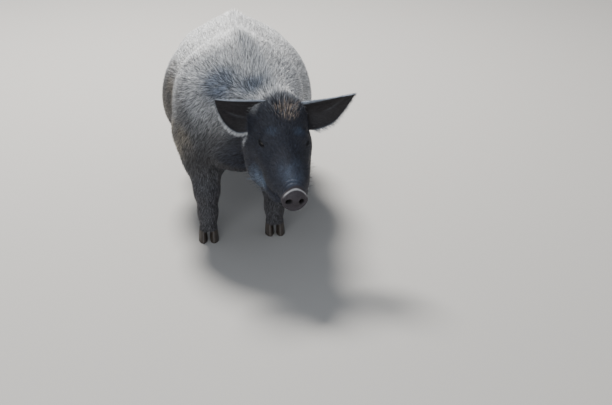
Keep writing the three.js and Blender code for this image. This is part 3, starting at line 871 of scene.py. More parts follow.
def catmull(points, shares):
    """A smooth line through points, at shares from 0 to 1."""
    n = len(points) - 1
    place = np.clip(np.asarray(shares) * n, 0, n - 1e-9)
    i = place.astype(int)
    t = (place - i)[:, None]
    p0, p1 = points[np.maximum(i - 1, 0)], points[i]
    p2, p3 = points[i + 1], points[np.minimum(i + 2, n)]
    bend = 2 * p0 - 5 * p1 + 4 * p2 - p3
    return 0.5 * (2 * p1 + (p2 - p0) * t + bend * t**2 + (3 * p1 - p0 - 3 * p2 + p3) * t**3)


def tail_rings():
    """Centres, directions and radii along the tail."""
    shares = np.linspace(0, 1, TAIL_ROWS)
    centres = catmull(TAIL_LINE, shares)
    travel = np.gradient(centres, axis=0)
    travel /= np.linalg.norm(travel, axis=1)[:, None]
    radii = catmull(TAIL_RADII[:, None], shares)[:, 0]
    across = np.array([1.0, 0, 0]) - travel * travel[:, :1]
    across /= np.linalg.norm(across, axis=1)[:, None]
    return centres, travel, across, np.cross(travel, across), radii


def circle(count):
    return np.arange(count) / count * 2 * math.pi


def tail_mesh():
    centres, _, across, up, radii = tail_rings()
    angles = circle(TAIL_COLUMNS)
    ring = across[:, None] * np.cos(angles)[None, :, None] + up[:, None] * np.sin(angles)[None, :, None]
    wrinkled = radii * (1 + TAIL_WRINKLE * np.sin(np.arange(TAIL_ROWS) * TAIL_WRINKLE_TURN))
    points = centres[:, None] + ring * wrinkled[:, None, None]
    return new_mesh("tail", points.reshape(-1, 3), tube_faces(TAIL_ROWS, TAIL_COLUMNS))


# ---------------------------------------------------------------- the one skin
def joined(base, others):
    """Unites base with other closed meshes, as one closed mesh."""
    for other in others:
        piece = linked(other.name, other)
        union = base.modifiers.new("union", "BOOLEAN")
        union.operation = "UNION"
        union.solver = "MANIFOLD"
        union.object = piece
        depsgraph = bpy.context.evaluated_depsgraph_get()
        mesh = bpy.data.meshes.new_from_object(base.evaluated_get(depsgraph))
        base.modifiers.clear()
        base.data = mesh
        bpy.data.objects.remove(piece)


JOIN_REACH, JOIN_HEIGHT = 7.0, 1.5  # how far the rounding reaches, round this height over the flesh
JOIN_ROUNDS = 6


def soften_joins(mesh):
    """Rounds the corners where the ears and the tail grow out of the skin."""
    points = mesh_points(mesh)
    chosen = np.abs(flesh_field(points) - JOIN_HEIGHT) < JOIN_REACH
    chosen &= near_ear_or_tail_root(points)
    bm = bmesh.new()
    bm.from_mesh(mesh)
    bm.verts.ensure_lookup_table()
    verts = [bm.verts[i] for i in np.flatnonzero(chosen)]
    for _ in range(JOIN_ROUNDS):
        bmesh.ops.smooth_vert(bm, verts=verts, factor=0.5, use_axis_x=True, use_axis_y=True, use_axis_z=True)
    bm.to_mesh(mesh)
    bm.free()
    mesh.update()


TAIL_ROOT_REACH, EAR_REACH = 45, 14


def near_ear_or_tail_root(points):
    near = np.linalg.norm(points - TAIL_LINE[1], axis=1) < TAIL_ROOT_REACH
    for name in SIDES:
        u, v, off = ear_place(name, points)
        near |= (np.abs(off) < EAR_REACH) & (u > -0.1) & (u < 0.75) & (v > -0.1) & (v < 1.1)
    return near


def settled(mesh, zone):
    """The mesh's points, those of a zone moved onto the skin's field."""
    points = mesh_points(mesh)
    chosen = zone(points)
    points[chosen] = onto_surface(skin_field, points[chosen], 3, 0.25)
    return points


def build_skin():
    points, quads = surface_quads()
    mesh = new_mesh("skin", onto_surface(shape_field, points, 2, 0.5), quads)
    refine(mesh, lambda p: face_zone(p) | foot_zone(p))
    set_mesh_points(mesh, onto_surface(skin_field, mesh_points(mesh), 2, 0.5))
    for zone in (front_zone, detail_zone):
        refine(mesh, zone)
        set_mesh_points(mesh, settled(mesh, zone))
    refine(mesh, edge_zone)
    set_mesh_points(mesh, press_openings(settled(mesh, edge_zone)))
    skin = linked("skin", mesh)
    joined(skin, [ear_mesh("right"), ear_mesh("left"), tail_mesh()])
    skin.data.name = "skin"
    soften_joins(skin.data)
    return skin


skin = build_skin()
skin.data.shade_smooth()
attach(skin, "root")
FLESH_NODES = ["trunk", "neck", "head", "jaw", "snout", "ear_right", "ear_left", "tail"]
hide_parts(*FLESH_NODES, *["leg_" + name for name in LIMB_NAMES])


# ---------------------------------------------------------------- which part a point of the skin belongs to
ON_HEAD, ON_BODY, ON_LEG, ON_EAR, ON_TAIL = range(5)
OFF_FLESH = 2.5  # the ears and the tail stand this far or more off the flesh
LID_REACH = 28  # the lids stand off it too, this far round the middle of each eye
EARS_FRONT, EARS_FOOT, TAIL_FRONT = 100, 300, 700
LEG_TOP = 260.0


def part_of(points):
    """The part of each point of the skin."""
    q = to_head(points)
    part = np.full(len(points), ON_BODY)
    part[back_along_head(q) < FACE_BACK] = ON_HEAD
    part[(points[:, 2] < LEG_TOP - 15) & (part == ON_BODY)] = ON_LEG
    by_eye = np.minimum(*[np.linalg.norm(q - eye_middle(side), axis=1) for side in (-1, 1)]) < LID_REACH
    off = (flesh_field(points) > OFF_FLESH) & ~by_eye
    part[off & (points[:, 1] < EARS_FRONT) & (points[:, 2] > EARS_FOOT)] = ON_EAR
    part[off & (points[:, 1] > TAIL_FRONT)] = ON_TAIL
    return part


def nearest_limb(points):
    """The index in LIMB_NAMES of the limb nearest to each point."""
    away = [np.linalg.norm(points[:, :2] - LIMBS[name][3][:2], axis=1) for name in LIMB_NAMES]
    return np.argmin(np.stack(away), axis=0)


def ear_side(points):
    return np.where(to_head(points)[:, 0] > 0, "left", "right")


# ---------------------------------------------------------------- markings, shared by the skin and the coat
CHARCOAL = np.array([0.050, 0.050, 0.058])
LEG_BLACK = CHARCOAL * 1.8
FACE_BLACK = np.array([0.034, 0.037, 0.053])
# silver of the back: dust on the hair, partly painted sheen of sunlit bristles
DUST_AND_SHEEN_SILVER = np.array([0.78, 0.79, 0.81])
SHOULDER_GREY = np.array([0.17, 0.168, 0.172])
# painted blue sheen of sky light on dark hair
SKY_SHEEN_BLUE = np.array([0.095, 0.135, 0.21])
DUST_TAN = np.array([0.33, 0.29, 0.235])
# painted sheen of sunlight and sky on the side of the jaw
JAW_SUNLIT_SHEEN = np.array([0.17, 0.22, 0.30])
CROWN_GREY = np.array([0.30, 0.31, 0.34])
CROWN_TAN = np.array([0.52, 0.42, 0.35])
SNOUT_BROWN = np.array([0.054, 0.047, 0.054])
# painted highlight of light on the snout's upper rim
SNOUT_RIM_HIGHLIGHT = np.array([0.62, 0.61, 0.62])
EAR_INSIDE = np.array([0.033, 0.030, 0.032])
EAR_BACK = np.array([0.16, 0.17, 0.19])
EAR_EDGE_HIGHLIGHT = np.array([0.50, 0.56, 0.66])  # painted highlight of the lit edges of the ears
# black of the lids and the pupils, and painted shade in the nostrils and the mouth's groove
BLACK_AND_HOLLOW_SHADE = np.array([0.012, 0.011, 0.011])


WAVES_SUMMED, WAVE_TURN, WAVE_SCALE = 7, 2.2, 2.6


def wavy(points, size, seed):
    """A smooth uneven pattern of about that size in millimetres, mostly between -1 and 1."""
    random = np.random.default_rng(seed)
    total = np.zeros(len(points))
    for _ in range(WAVES_SUMMED):
        direction = random.normal(size=3) / size * WAVE_TURN
        total += np.sin(points @ direction + random.uniform(0, 2 * math.pi))
    return total / WAVE_SCALE


def spot(points, centre, radii):
    """1 in the middle of an ellipsoid, easing to 0 at its edge."""
    r = np.linalg.norm((points - np.array(centre)) / np.array(radii), axis=1)
    return 1 - smoothstep(r, 0.35, 1.15)


def spotted(points, spots):
    """How strongly each point lies in any of some spots, given by their middles, radii and strengths."""
    return np.maximum.reduce([strength * spot(points, middle, radii) for middle, radii, strength in spots])


def mixed(colour, other, share):
    return colour + (other - colour) * np.clip(share, 0, 1)[:, None]


def plain(colour, points):
    return np.tile(colour, (len(points), 1))


# Spots on the body, in the construction frame: middle, radii and strength.
# painted blue sheen of sky light on the dark bristles of the neck
NECK_SKY_SHEEN = [((-62, -72, 545), (84, 72, 60), 1), ((30, -112, 545), (66, 40, 34), 0.75)]
TAN_FLANK = [((-215, 215, 420), (95, 150, 190), 0.6), ((-195, 20, 345), (70, 110, 80), 1)]
DARK_FLANK = [((-235, 250, 440), (70, 150, 120), 0.8)]
STREAK_GRAIN = np.array([1.0, 0.45, 0.2])  # the streaks of dust are drawn out along the body and upwards
LEFT_SUNLIT_SPREAD, LEFT_SUNLIT_DROP = 0.9, 140  # the silver, dust and painted sunlight, reaches further round and lower on the left side


def body_marking(p, normals):
    """Black hair under dust: silver of dust and painted sheen on the back, darker down the sides, with
    painted blue sky sheen on the neck and tan dust patches.
    """
    uneven = wavy(p, 90, 1) * 0.16 + wavy(p, 30, 2) * 0.08
    sides = smoothstep(p[:, 2] + 40 * uneven, 270, 470)
    colour = mixed(plain(CHARCOAL, p), SHOULDER_GREY, sides)
    left = smoothstep(p[:, 0], 20, 150)
    # up-facing hair turns silver: dust that settles there, and painted sheen where light falls from above and
    # on the left side
    facing_up = smoothstep(normals[:, 2] + uneven + LEFT_SUNLIT_SPREAD * left, -0.12, 0.6)
    colour = mixed(colour, DUST_AND_SHEEN_SILVER, facing_up * smoothstep(p[:, 2] + LEFT_SUNLIT_DROP * left, 340, 500))
    # painted blue sky sheen on the neck
    colour = mixed(colour, SKY_SHEEN_BLUE, spotted(p, NECK_SKY_SHEEN) * (0.85 + uneven))
    colour = mixed(colour, CHARCOAL, spotted(p, DARK_FLANK))
    streaks = 0.5 + 0.6 * wavy(p * STREAK_GRAIN, 13, 3)
    return mixed(colour, DUST_TAN, spotted(p, TAN_FLANK) * np.clip(streaks, 0.25, 1))


# Spots on the head, in its own frame: middle, radii and strength.
# painted blue highlights of sky light on the nose and brows
FACE_SKY_HIGHLIGHTS = [
    ((0, -125, -4), (42, 80, 30), 0.5),  # nose
    ((-38, 2, 40), (26, 20, 16), 0.4),  # brows
    ((40, 0, 40), (26, 20, 16), 0.4),
]
# where the painted sheen lies on the jaw
JAW_SHEEN_SPOT = [((-74, -66, -88), (40, 60, 42), 1)]
# painted rim highlight of lit hair at the edge of the cheek
CHEEK_RIM_HIGHLIGHT = [((-101, 47, -38), (20, 8, 28), 0.6)]
CROWN_GREY_SPOT = [((6, 76, 78), (66, 44, 38), 0.35)]  # the share of grey hairs round the crown
CROWN_TAN_SPOT = [((14, 42, 82), (46, 34, 30), 0.45)]  # the share of tan bristles in its middle
# strength on the poll of the back's silver, dust with painted sheen
POLL_DUST_AND_SHEEN = 0.6
# strength of the painted shade in the groove of the mouth
MOUTH_GROOVE_SHADE = 1.4


def head_marking(p):
    """Blue-black, with dust and painted sheen on the poll, painted blue highlights on the nose and brows,
    painted sunlit sheen on the jaw, painted shade in the mouth's groove and nostrils, and a painted rim
    highlight behind the cheek.
    """
    q = to_head(p)
    uneven = wavy(p, 25, 4)
    # the back's silver, dust with painted sheen, carried up onto the poll
    poll = smoothstep(q[:, 1] + 8 * uneven, 64, 100) * smoothstep(q[:, 2], 20, 60)
    colour = mixed(plain(FACE_BLACK, p), DUST_AND_SHEEN_SILVER * POLL_DUST_AND_SHEEN, poll)
    # painted blue highlights on the nose and brows
    colour = mixed(colour, SKY_SHEEN_BLUE, spotted(q, FACE_SKY_HIGHLIGHTS) * (0.8 + 0.4 * uneven))
    # painted sunlit sheen on the side of the jaw
    colour = mixed(colour, JAW_SUNLIT_SHEEN, spotted(q, JAW_SHEEN_SPOT) * (0.8 + 0.4 * uneven))
    # painted rim highlight behind the cheek
    colour = mixed(colour, DUST_AND_SHEEN_SILVER, spotted(q, CHEEK_RIM_HIGHLIGHT))
    backward, up, out = (np.where(q[:, 0] > 0, a, b) for a, b in zip(eye_axes(q, 1), eye_axes(q, -1)))
    lids = (1 - smoothstep(slit_place(backward, up), 0.9, 1.7)) * (out > -4)
    colour = mixed(colour, BLACK_AND_HOLLOW_SHADE, lids)
    # painted shade in the mouth's groove, darker as the groove deepens
    colour = mixed(colour, BLACK_AND_HOLLOW_SHADE, MOUTH_GROOVE_SHADE * mouth_groove(q) / MOUTH_DEPTH)
    across, depth, high = snout_axes(q)
    colour = mixed(colour, SNOUT_BROWN, 1 - smoothstep(depth, 9, 15))
    # a painted highlight along the top of the disc's rim
    colour = mixed(colour, SNOUT_RIM_HIGHLIGHT, bump(depth, 3.5, 3.5) * smoothstep(high, 8, 26) * 0.8)
    # painted shade inside the nostrils
    nostril_shade = 1 - smoothstep(nearer_nostril(across, high), 0.6, 1.25)
    return mixed(colour, BLACK_AND_HOLLOW_SHADE, nostril_shade * (depth < 20))


LIT_EDGE = {"right": 0.09, "left": 0.18}  # share of each ear's width along its top edge that carries the painted highlight
LOWER_EDGE_HIGHLIGHT = 0.35


def ear_marking(p):
    colour = np.empty((len(p), 3))
    side = ear_side(p)
    for name, lit in LIT_EDGE.items():
        here = side == name
        u, v, off = ear_place(name, p[here])
        base = mixed(plain(EAR_BACK, u), EAR_INSIDE, smoothstep(off, -0.8, 0.8))
        top = 1 - smoothstep(v, 0.3 * lit, lit)
        # painted highlight along the top edge, and more faintly along the lower edge
        edge = np.maximum(top, LOWER_EDGE_HIGHLIGHT * smoothstep(v, 0.965, 1.0)) * (u < 1.01)
        colour[here] = mixed(base, EAR_EDGE_HIGHLIGHT, edge)
    return colour


FOOT_DUST = 0.08


def leg_marking(p):
    uneven = wavy(p, 40, 6)
    upper = smoothstep(p[:, 2] + 15 * uneven, 150, 300)
    colour = mixed(plain(LEG_BLACK, p), SHOULDER_GREY * 0.8, upper)
    lower = 1 - smoothstep(p[:, 2] + 12 * uneven, 60, 230)
    return mixed(colour, DUST_TAN, lower * FOOT_DUST)


def marking(points, normals, blended_crown=True):
    """The colour of skin and coat at points of the skin. The coat picks the crown's hues hair by hair."""
    part = part_of(points)
    q = to_head(points)
    along = back_along_head(q)
    colour = body_marking(points, normals)
    legs = 1 - smoothstep(points[:, 2], 190, 300)
    colour = mixed(colour, leg_marking(points), legs * (along > 60))
    colour = mixed(colour, head_marking(points), 1 - smoothstep(along, 84, 132))
    if blended_crown:
        colour = mixed(colour, CROWN_GREY, spotted(q, CROWN_GREY_SPOT))
        colour = mixed(colour, CROWN_TAN, spotted(q, CROWN_TAN_SPOT))
    colour[part == ON_EAR] = ear_marking(points[part == ON_EAR])
    colour[part == ON_TAIL] = CHARCOAL
    return colour


def set_colours(mesh, name, colours):
    """Stores one linear colour for each vertex."""
    layer = mesh.color_attributes.new(name, "FLOAT_COLOR", "POINT")
    full = np.ones((len(colours), 4), np.float32)
    full[:, :3] = np.clip(colours, 0, 1)
    layer.data.foreach_set("color", full.ravel())


def vertex_normals(mesh):
    normals = np.empty(len(mesh.vertices) * 3, np.float32)
    mesh.vertex_normals.foreach_get("vector", normals)
    return normals.reshape(-1, 3).astype(float)


BARE_SHADE, COVERED_DARKER = 0.85, 0.6


def skin_colours(points, normals):
    """The markings between the hairs: darker where the coat is thick, as the dust and the painted sheen lie
    on the hair.
    """
    thick = smoothstep(back_along_head(to_head(points)), 20, 130) * (part_of(points) != ON_EAR)
    return marking(points, normals) * (BARE_SHADE - COVERED_DARKER * thick)[:, None]


set_colours(skin.data, "marking", skin_colours(mesh_points(skin.data), vertex_normals(skin.data)))


# ---------------------------------------------------------------- materials
BUMP_HEIGHT = 0.0008  # metres


class Nodes:
    """A small helper that builds one material's nodes."""

    def __init__(self, name, roughness, specular):
        self.material = bpy.data.materials.new(name)
        self.material.use_nodes = True
        self.tree = self.material.node_tree
        self.shader = self.tree.nodes["Principled BSDF"]
        self.shader.inputs["Roughness"].default_value = roughness
        self.shader.inputs["Specular IOR Level"].default_value = specular

    def add(self, kind, **values):
        node = self.tree.nodes.new(kind)
        for key, value in values.items():
            if key in node.inputs:
                node.inputs[key].default_value = value
            else:
                setattr(node, key, value)
        return node

    def link(self, source, target):
        self.tree.links.new(source, target)

    def colour(self, source):
        self.link(source, self.shader.inputs["Base Color"])

    def painted(self, layer):
        return self.add("ShaderNodeVertexColor", layer_name=layer).outputs["Color"]

    def noise(self, scale, detail):
        coordinates = self.add("ShaderNodeTexCoord")
        noise = self.add("ShaderNodeTexNoise", Scale=scale, Detail=detail)
        self.link(coordinates.outputs["Object"], noise.inputs["Vector"])
        return noise.outputs["Fac"]

    def bump(self, height, strength):
        node = self.add("ShaderNodeBump", Strength=strength, Distance=BUMP_HEIGHT)
        self.link(height, node.inputs["Height"])
        self.link(node.outputs["Normal"], self.shader.inputs["Normal"])


def skin_material():
    """Marked skin with a fine grain, and a bump of short flat hair and pores."""
    nodes = Nodes("skin", roughness=0.62, specular=0.25)
    grain = nodes.noise(420.0, 3.0)
    limits = {"From Min": 0.3, "From Max": 0.7, "To Min": 0.72, "To Max": 1.2}
    share = nodes.add("ShaderNodeMapRange", **limits)
    nodes.link(grain, share.inputs["Value"])
    scaled = nodes.add("ShaderNodeVectorMath", operation="SCALE")
    nodes.link(nodes.painted("marking"), scaled.inputs[0])
    nodes.link(share.outputs["Result"], scaled.inputs["Scale"])
    nodes.colour(scaled.outputs["Vector"])
    nodes.bump(nodes.noise(700.0, 4.0), 0.5)
    return nodes.material


def coat_material():
    nodes = Nodes("coat", roughness=0.5, specular=0.4)
    nodes.colour(nodes.painted("hair"))
    return nodes.material


def eye_material():
    nodes = Nodes("eyeball", roughness=0.06, specular=0.6)
    nodes.colour(nodes.painted("iris"))
    nodes.shader.inputs["Coat Weight"].default_value = 0.6
    nodes.shader.inputs["Coat Roughness"].default_value = 0.03
    return nodes.material


HORN_DARK = (0.016, 0.013, 0.011, 1)
HORN_PALE = (0.085, 0.068, 0.055, 1)


def horn_material():
    nodes = Nodes("horn", roughness=0.45, specular=0.4)
    noise = nodes.noise(160.0, 4.0)
    ramp = nodes.add("ShaderNodeValToRGB")
    for element, colour in zip(ramp.color_ramp.elements, (HORN_DARK, HORN_PALE)):
        element.color = colour
    nodes.link(noise, ramp.inputs["Fac"])
    nodes.colour(ramp.outputs["Color"])
    nodes.bump(noise, 0.4)
    return nodes.material


skin.data.materials.clear()
skin.data.materials.append(skin_material())


# ---------------------------------------------------------------- eyes
EYE_RINGS, EYE_SEGMENTS = 32, 48
PUPIL, IRIS = 0.30, 0.92  # where they end, as angles from the middle of the eye
PUPIL_STRETCH = 0.72
IRIS_STREAKS, IRIS_STREAK_DEPTH = 16, 0.3
IRIS_COLOUR = np.array([0.030, 0.015, 0.009])
WHITE_COLOUR = np.array([0.10, 0.075, 0.065])
CORNEA_BULGE = 0.9


def eyeball(name, side):
    """A smooth ball turned to look out of the lids, with a low bulge at its cornea."""
    backward, up, outward = eye_directions(side)
    across = backward * side
    angles = np.linspace(0.02, math.pi - 0.02, EYE_RINGS)
    angle, turn = np.meshgrid(angles, circle(EYE_SEGMENTS), indexing="ij")
    radius = EYE_RADIUS + CORNEA_BULGE * (1 - smoothstep(angle, 0.2, 0.9))
    ring = across * (np.cos(turn) * np.sin(angle))[..., None] + up * (np.sin(turn) * np.sin(angle))[..., None]
    points = eye_middle(side) + (ring + outward * np.cos(angle)[..., None]) * radius[..., None]
    mesh = new_mesh(name, in_head(points.reshape(-1, 3)), tube_faces(EYE_RINGS, EYE_SEGMENTS))
    angle, turn = angle.ravel(), turn.ravel()
    pupil = np.hypot(np.sin(angle) * np.cos(turn) * PUPIL_STRETCH, np.sin(angle) * np.sin(turn))
    colour = mixed(plain(WHITE_COLOUR, angle), IRIS_COLOUR, 1 - smoothstep(angle, IRIS - 0.06, IRIS))
    streak = 1 + IRIS_STREAK_DEPTH * np.sin(turn * IRIS_STREAKS) * smoothstep(angle, 0.3, 0.8)
    colour = mixed(colour * streak[:, None], BLACK_AND_HOLLOW_SHADE * 0.3, 1 - smoothstep(pupil, PUPIL - 0.04, PUPIL))
    set_colours(mesh, "iris", colour)
    mesh.shade_smooth()
    return mesh


def place_piece(mesh, name, material, slot, *nodes):
    """Makes an object of a mesh that rides on the model and stands for the named CAD nodes."""
    mesh.materials.append(material)
    piece = linked(name, mesh)
    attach(piece, "root")
    if nodes:
        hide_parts(*nodes)


eye_finish = eye_material()
for side_name, side in SIDES.items():
    name = "eyeball_" + side_name
    place_piece(eyeball(name, side), name, eye_finish, "eyeball", "eye_" + side_name)


# ---------------------------------------------------------------- hooves and dewclaws
CLAW_LENGTH, CLAW_WIDTH, CLAW_TOP = 54.0, 31.0, 38.0
CLAW_TOP_SCALE, CLAW_TOP_BACK, CLAW_FORWARD = 0.84, 11.0, -9.0
CLAW_HALF_GAP = 1.0
CLAW_INNER = 0.84  # the inner side bulges less
CLAW_HEEL_NARROWING = 0.25
GROWTH_RING_DEPTH, GROWTH_RING_TURN = 0.012, 26
CLAW_ROWS, CLAW_SEGMENTS = 18, 40
SOLE_ROWS = [0, 0.0, 0.02]  # the sole's rows, as shares of the height, and how far they are drawn in
SOLE_TUCKS = [0.02, 0.965, 0.995]


def claw(name, foot, outward):
    """One claw: a flat sole, a toe wall that slopes back with low growth rings, and a flatter inner side."""
    wall_rows = CLAW_ROWS - len(SOLE_ROWS)
    rows = np.concatenate([SOLE_ROWS, np.linspace(0.06, 1, wall_rows)])
    tucks = np.concatenate([SOLE_TUCKS, np.ones(wall_rows)])
    angle = circle(CLAW_SEGMENTS)
    heelward = np.sin(angle)
    sideways = np.cos(angle) * (1 - CLAW_HEEL_NARROWING * np.maximum(-heelward, 0))
    inner = np.where(sideways * outward < 0, CLAW_INNER, 1.0)
    points = []
    for t, tuck in zip(rows, tucks):
        rings = 1 - GROWTH_RING_DEPTH * (0.5 + 0.5 * math.sin(t * GROWTH_RING_TURN)) * (t > 0.03)
        scale = (1 - (1 - CLAW_TOP_SCALE) * t * t) * tuck * rings
        x = foot[0] + outward * (CLAW_WIDTH / 2 + CLAW_HALF_GAP) + sideways * inner * scale * CLAW_WIDTH / 2
        y = foot[1] + CLAW_FORWARD + CLAW_TOP_BACK * t + heelward * scale * CLAW_LENGTH / 2
        points.append(np.stack([x, y, np.full(CLAW_SEGMENTS, CLAW_TOP * t)], 1))
    mesh = new_mesh(name, np.concatenate(points), tube_faces(CLAW_ROWS, CLAW_SEGMENTS))
    mesh.shade_smooth()
    return mesh


DEWCLAW_LENGTH, DEWCLAW_RADIUS, DEWCLAW_TIP = 24.0, 7.4, 3.2
DEWCLAW_OUT, DEWCLAW_BACK, DEWCLAW_HEIGHT = 15, 26, 62.0
DEWCLAW_ROWS, DEWCLAW_SEGMENTS = 10, 20


def dewclaw(name, foot, outward):
    """A small blunt claw that points down and back from over the heel."""
    down = np.array([outward * 0.25, 0.75, -0.6])
    down /= np.linalg.norm(down)
    across = square_to(down, 0)
    up = np.cross(down, across)
    start = np.array([foot[0] + outward * DEWCLAW_OUT, foot[1] + DEWCLAW_BACK, DEWCLAW_HEIGHT])
    angle = circle(DEWCLAW_SEGMENTS)
    ring = np.cos(angle)[:, None] * across + np.sin(angle)[:, None] * up
    points = []
    for t in np.linspace(0, 1, DEWCLAW_ROWS):
        radius = DEWCLAW_TIP + (DEWCLAW_RADIUS - DEWCLAW_TIP) * math.sqrt(max(1 - t**2.2, 0))
        points.append(start + down * DEWCLAW_LENGTH * t + ring * radius)
    mesh = new_mesh(name, np.concatenate(points), tube_faces(DEWCLAW_ROWS, DEWCLAW_SEGMENTS))
    mesh.shade_smooth()
    return mesh


horn_finish = horn_material()
for limb_name in LIMB_NAMES:
    foot, side = LIMBS[limb_name][-1], limb_side(limb_name)
    for place, outward in (("outer", side), ("inner", -side)):
        ending = limb_name + "_" + place
        for shape, name, node in ((claw, "claw_", "hoof_"), (dewclaw, "small_claw_", "dewclaw_")):
            mesh = shape(name + ending, foot, outward)
            place_piece(mesh, name + ending, horn_finish, "horn", node + ending)


# ---------------------------------------------------------------- coat: what grows where
# Tufts for each square millimetre of skin.
BODY_DENSITY, LEG_DENSITY, HEAD_DENSITY, TAIL_DENSITY = 0.124, 0.16, 0.30, 0.35
EAR_BACK_DENSITY, EAR_INSIDE_DENSITY = 0.30, 0.10
TUFTS_IN_PIECE = 36_000
BARE_LIP = 0.22  # of the depth of the mouth's line

random = np.random.default_rng(20)


def triangles_of(mesh):
    mesh.calc_loop_triangles()
    corners = np.empty(len(mesh.loop_triangles) * 3, np.int32)
    mesh.loop_triangles.foreach_get("vertices", corners)
    return corners.reshape(-1, 3)


def bare(points):
    """True where no hair grows: the disc of the snout, the lips, the edges of the lids and under the feet."""
    q = to_head(points)
    bald = (snout_axes(q)[1] < 12) & (q[:, 1] < -150)
    bald |= mouth_groove(q) > BARE_LIP * MOUTH_DEPTH
    bald |= points[:, 2] < PASTERN_END + 4
    for side in (-1, 1):
        backward, up, out = eye_axes(q, side)
        bald |= (slit_place(backward, up) < 1.22) & (out > -2) & (out < 26)
    return bald


def tuft_density(points, part):
    head = 1 - smoothstep(back_along_head(to_head(points)), 60, 150)
    legs = (1 - smoothstep(points[:, 2], 200, 300)) * (1 - head)
    density = np.full(len(points), BODY_DENSITY)
    density += (HEAD_DENSITY - BODY_DENSITY) * head + (LEG_DENSITY - BODY_DENSITY) * legs
    density[part == ON_TAIL] = TAIL_DENSITY
    side = ear_side(points)
    for name in SIDES:
        here = (part == ON_EAR) & (side == name)
        off = ear_place(name, points[here])[2]
        density[here] = np.where(off > 0, EAR_INSIDE_DENSITY, EAR_BACK_DENSITY)
    density[bare(points)] = 0
    return density


def scattered_roots(mesh):
    """Random places on the skin, more where the coat is denser: points, and the skin's normals there."""
    points, normals = mesh_points(mesh), vertex_normals(mesh)
    corners = triangles_of(mesh)
    a, b, c = points[corners[:, 0]], points[corners[:, 1]], points[corners[:, 2]]
    areas = np.linalg.norm(np.cross(b - a, c - a), axis=1) / 2
    middles = (a + b + c) / 3
    weights = areas * tuft_density(middles, part_of(middles))
    ends = np.cumsum(weights)
    count = int(ends[-1])
    picks = np.searchsorted(ends, np.arange(count) + random.uniform(size=count))
    picks = np.minimum(picks, len(corners) - 1)
    r1, r2 = np.sqrt(random.uniform(size=count)), random.uniform(size=count)
    shares = np.stack([1 - r1, r1 * (1 - r2), r1 * r2], 1)[:, :, None]
    place = (points[corners[picks]] * shares).sum(1)
    normal = (normals[corners[picks]] * shares).sum(1)
    return place, normal / np.linalg.norm(normal, axis=1)[:, None]


def unit(vectors):
    return vectors / np.maximum(np.linalg.norm(vectors, axis=1), 1e-9)[:, None]


def flattened(vectors, normals):
    """Unit vectors laid into the surface that has those normals."""
    return unit(vectors - normals * (vectors * normals).sum(1)[:, None])


CHEST_FALL = 1.2  # the hair of the chest hangs down
DOWN_A_LEG = np.array([0.0, 0.3, -1.0])
EAR_FANNING = 1.6
TAIL_STEP = 4  # every fourth ring is enough to follow the tail


def lie_of_hair(p, normals, part):
    """The direction that the hair points, along the skin: backwards, down the sides and down the legs."""
    q = to_head(p)
    body = np.stack([np.zeros(len(p)), np.ones(len(p)), -0.5 * (1 - np.abs(normals[:, 2]))], 1)
    body[:, 2] -= CHEST_FALL * smoothstep(-normals[:, 1], 0.2, 0.8) * (1 - smoothstep(p[:, 2], 400, 600))
    legs = (1 - smoothstep(p[:, 2], 170, 330))[:, None]
    body = body * (1 - legs) + DOWN_A_LEG * legs
    sideways = 0.35 * np.clip(q[:, 0] / 60, -1, 1)
    downwards = -0.5 * smoothstep(-q[:, 2], 0, 60)
    face = np.stack([sideways, np.ones(len(p)), downwards], 1) @ HEAD_TURN.T
    on_head = (1 - smoothstep(back_along_head(q), 80, 190))[:, None]
    way = body * (1 - on_head) + face * on_head
    side = ear_side(p)
    for name in SIDES:
        here = (part == ON_EAR) & (side == name)
        u, v, _ = ear_place(name, p[here])
        along, _, down = ear_frame(name, np.clip(u, 0, 1))
        way[here] = along + down * ((v - 0.45) * EAR_FANNING)[:, None]
    tail = part == ON_TAIL
    centres, travel = (values[::TAIL_STEP] for values in tail_rings()[:2])
    nearest = np.argmin(np.linalg.norm(p[tail][:, None] - centres[None], axis=2), axis=1)
    way[tail] = travel[nearest]
    return flattened(way, normals)


# The bristles of the spine: places along the body, how far to the left they lie there, and their spread.
SPINE_PLACES, SPINE_ACROSS, SPINE_SPREAD = [-150, 80, 300], [104, 6, 2], 30


def spine_share(p, normals):
    """1 along the middle of the neck and back, where the bristles are longer and stand up a little."""
    middle = np.interp(p[:, 1], SPINE_PLACES, SPINE_ACROSS)
    along = smoothstep(p[:, 1], -190, -120) * (1 - smoothstep(p[:, 1], 420, 640))
    return np.exp(-(((p[:, 0] - middle) / SPINE_SPREAD) ** 2)) * along * (normals[:, 2] > 0.2)


# Length and width of a tuft, and its angle off the skin: on the forehead, and on the ears.
FOREHEAD_TUFT = (9, 0.8, math.radians(13))
EAR_TUFT = (8.5, 0.7, math.radians(10))
TAIL_LENGTH, TASSEL_LENGTH, TAIL_ANGLE = 13, 22, math.radians(9)


def tuft_sizes(p, normals, part):
    """Length, width and angle off the skin (in radians) of the tufts, in millimetres."""
    q = to_head(p)
    body = smoothstep(back_along_head(q), -20, 130)
    legs = smoothstep(LEG_TOP - p[:, 2], 0, 60) * body
    changes = [  # where, and what is added there to the length, the width and the angle
        (body, (9, 0.3, 0.04)),
        (legs, (-6, -0.15, -0.11)),
        (smoothstep(-p[:, 2], -120, -50) * legs, (-4, 0, 0)),
        (1 - smoothstep(q[:, 1], -180, -60), (-3.5, -0.2, 0)),
        (spine_share(p, normals), (16, 0, math.radians(15))),
        (spot(q, (6, 66, 80), (58, 50, 36)), (4, 0.25, math.radians(26))),
    ]
    sizes = plain(FOREHEAD_TUFT, p)
    for share, change in changes:
        sizes += np.outer(share, change)
    sizes[part == ON_EAR] = EAR_TUFT
    tail = part == ON_TAIL
    sizes[tail, 0] = TAIL_LENGTH + TASSEL_LENGTH * (1 - smoothstep(p[tail, 2], 222, 300))
    sizes[tail, 2] = TAIL_ANGLE
    return sizes.T


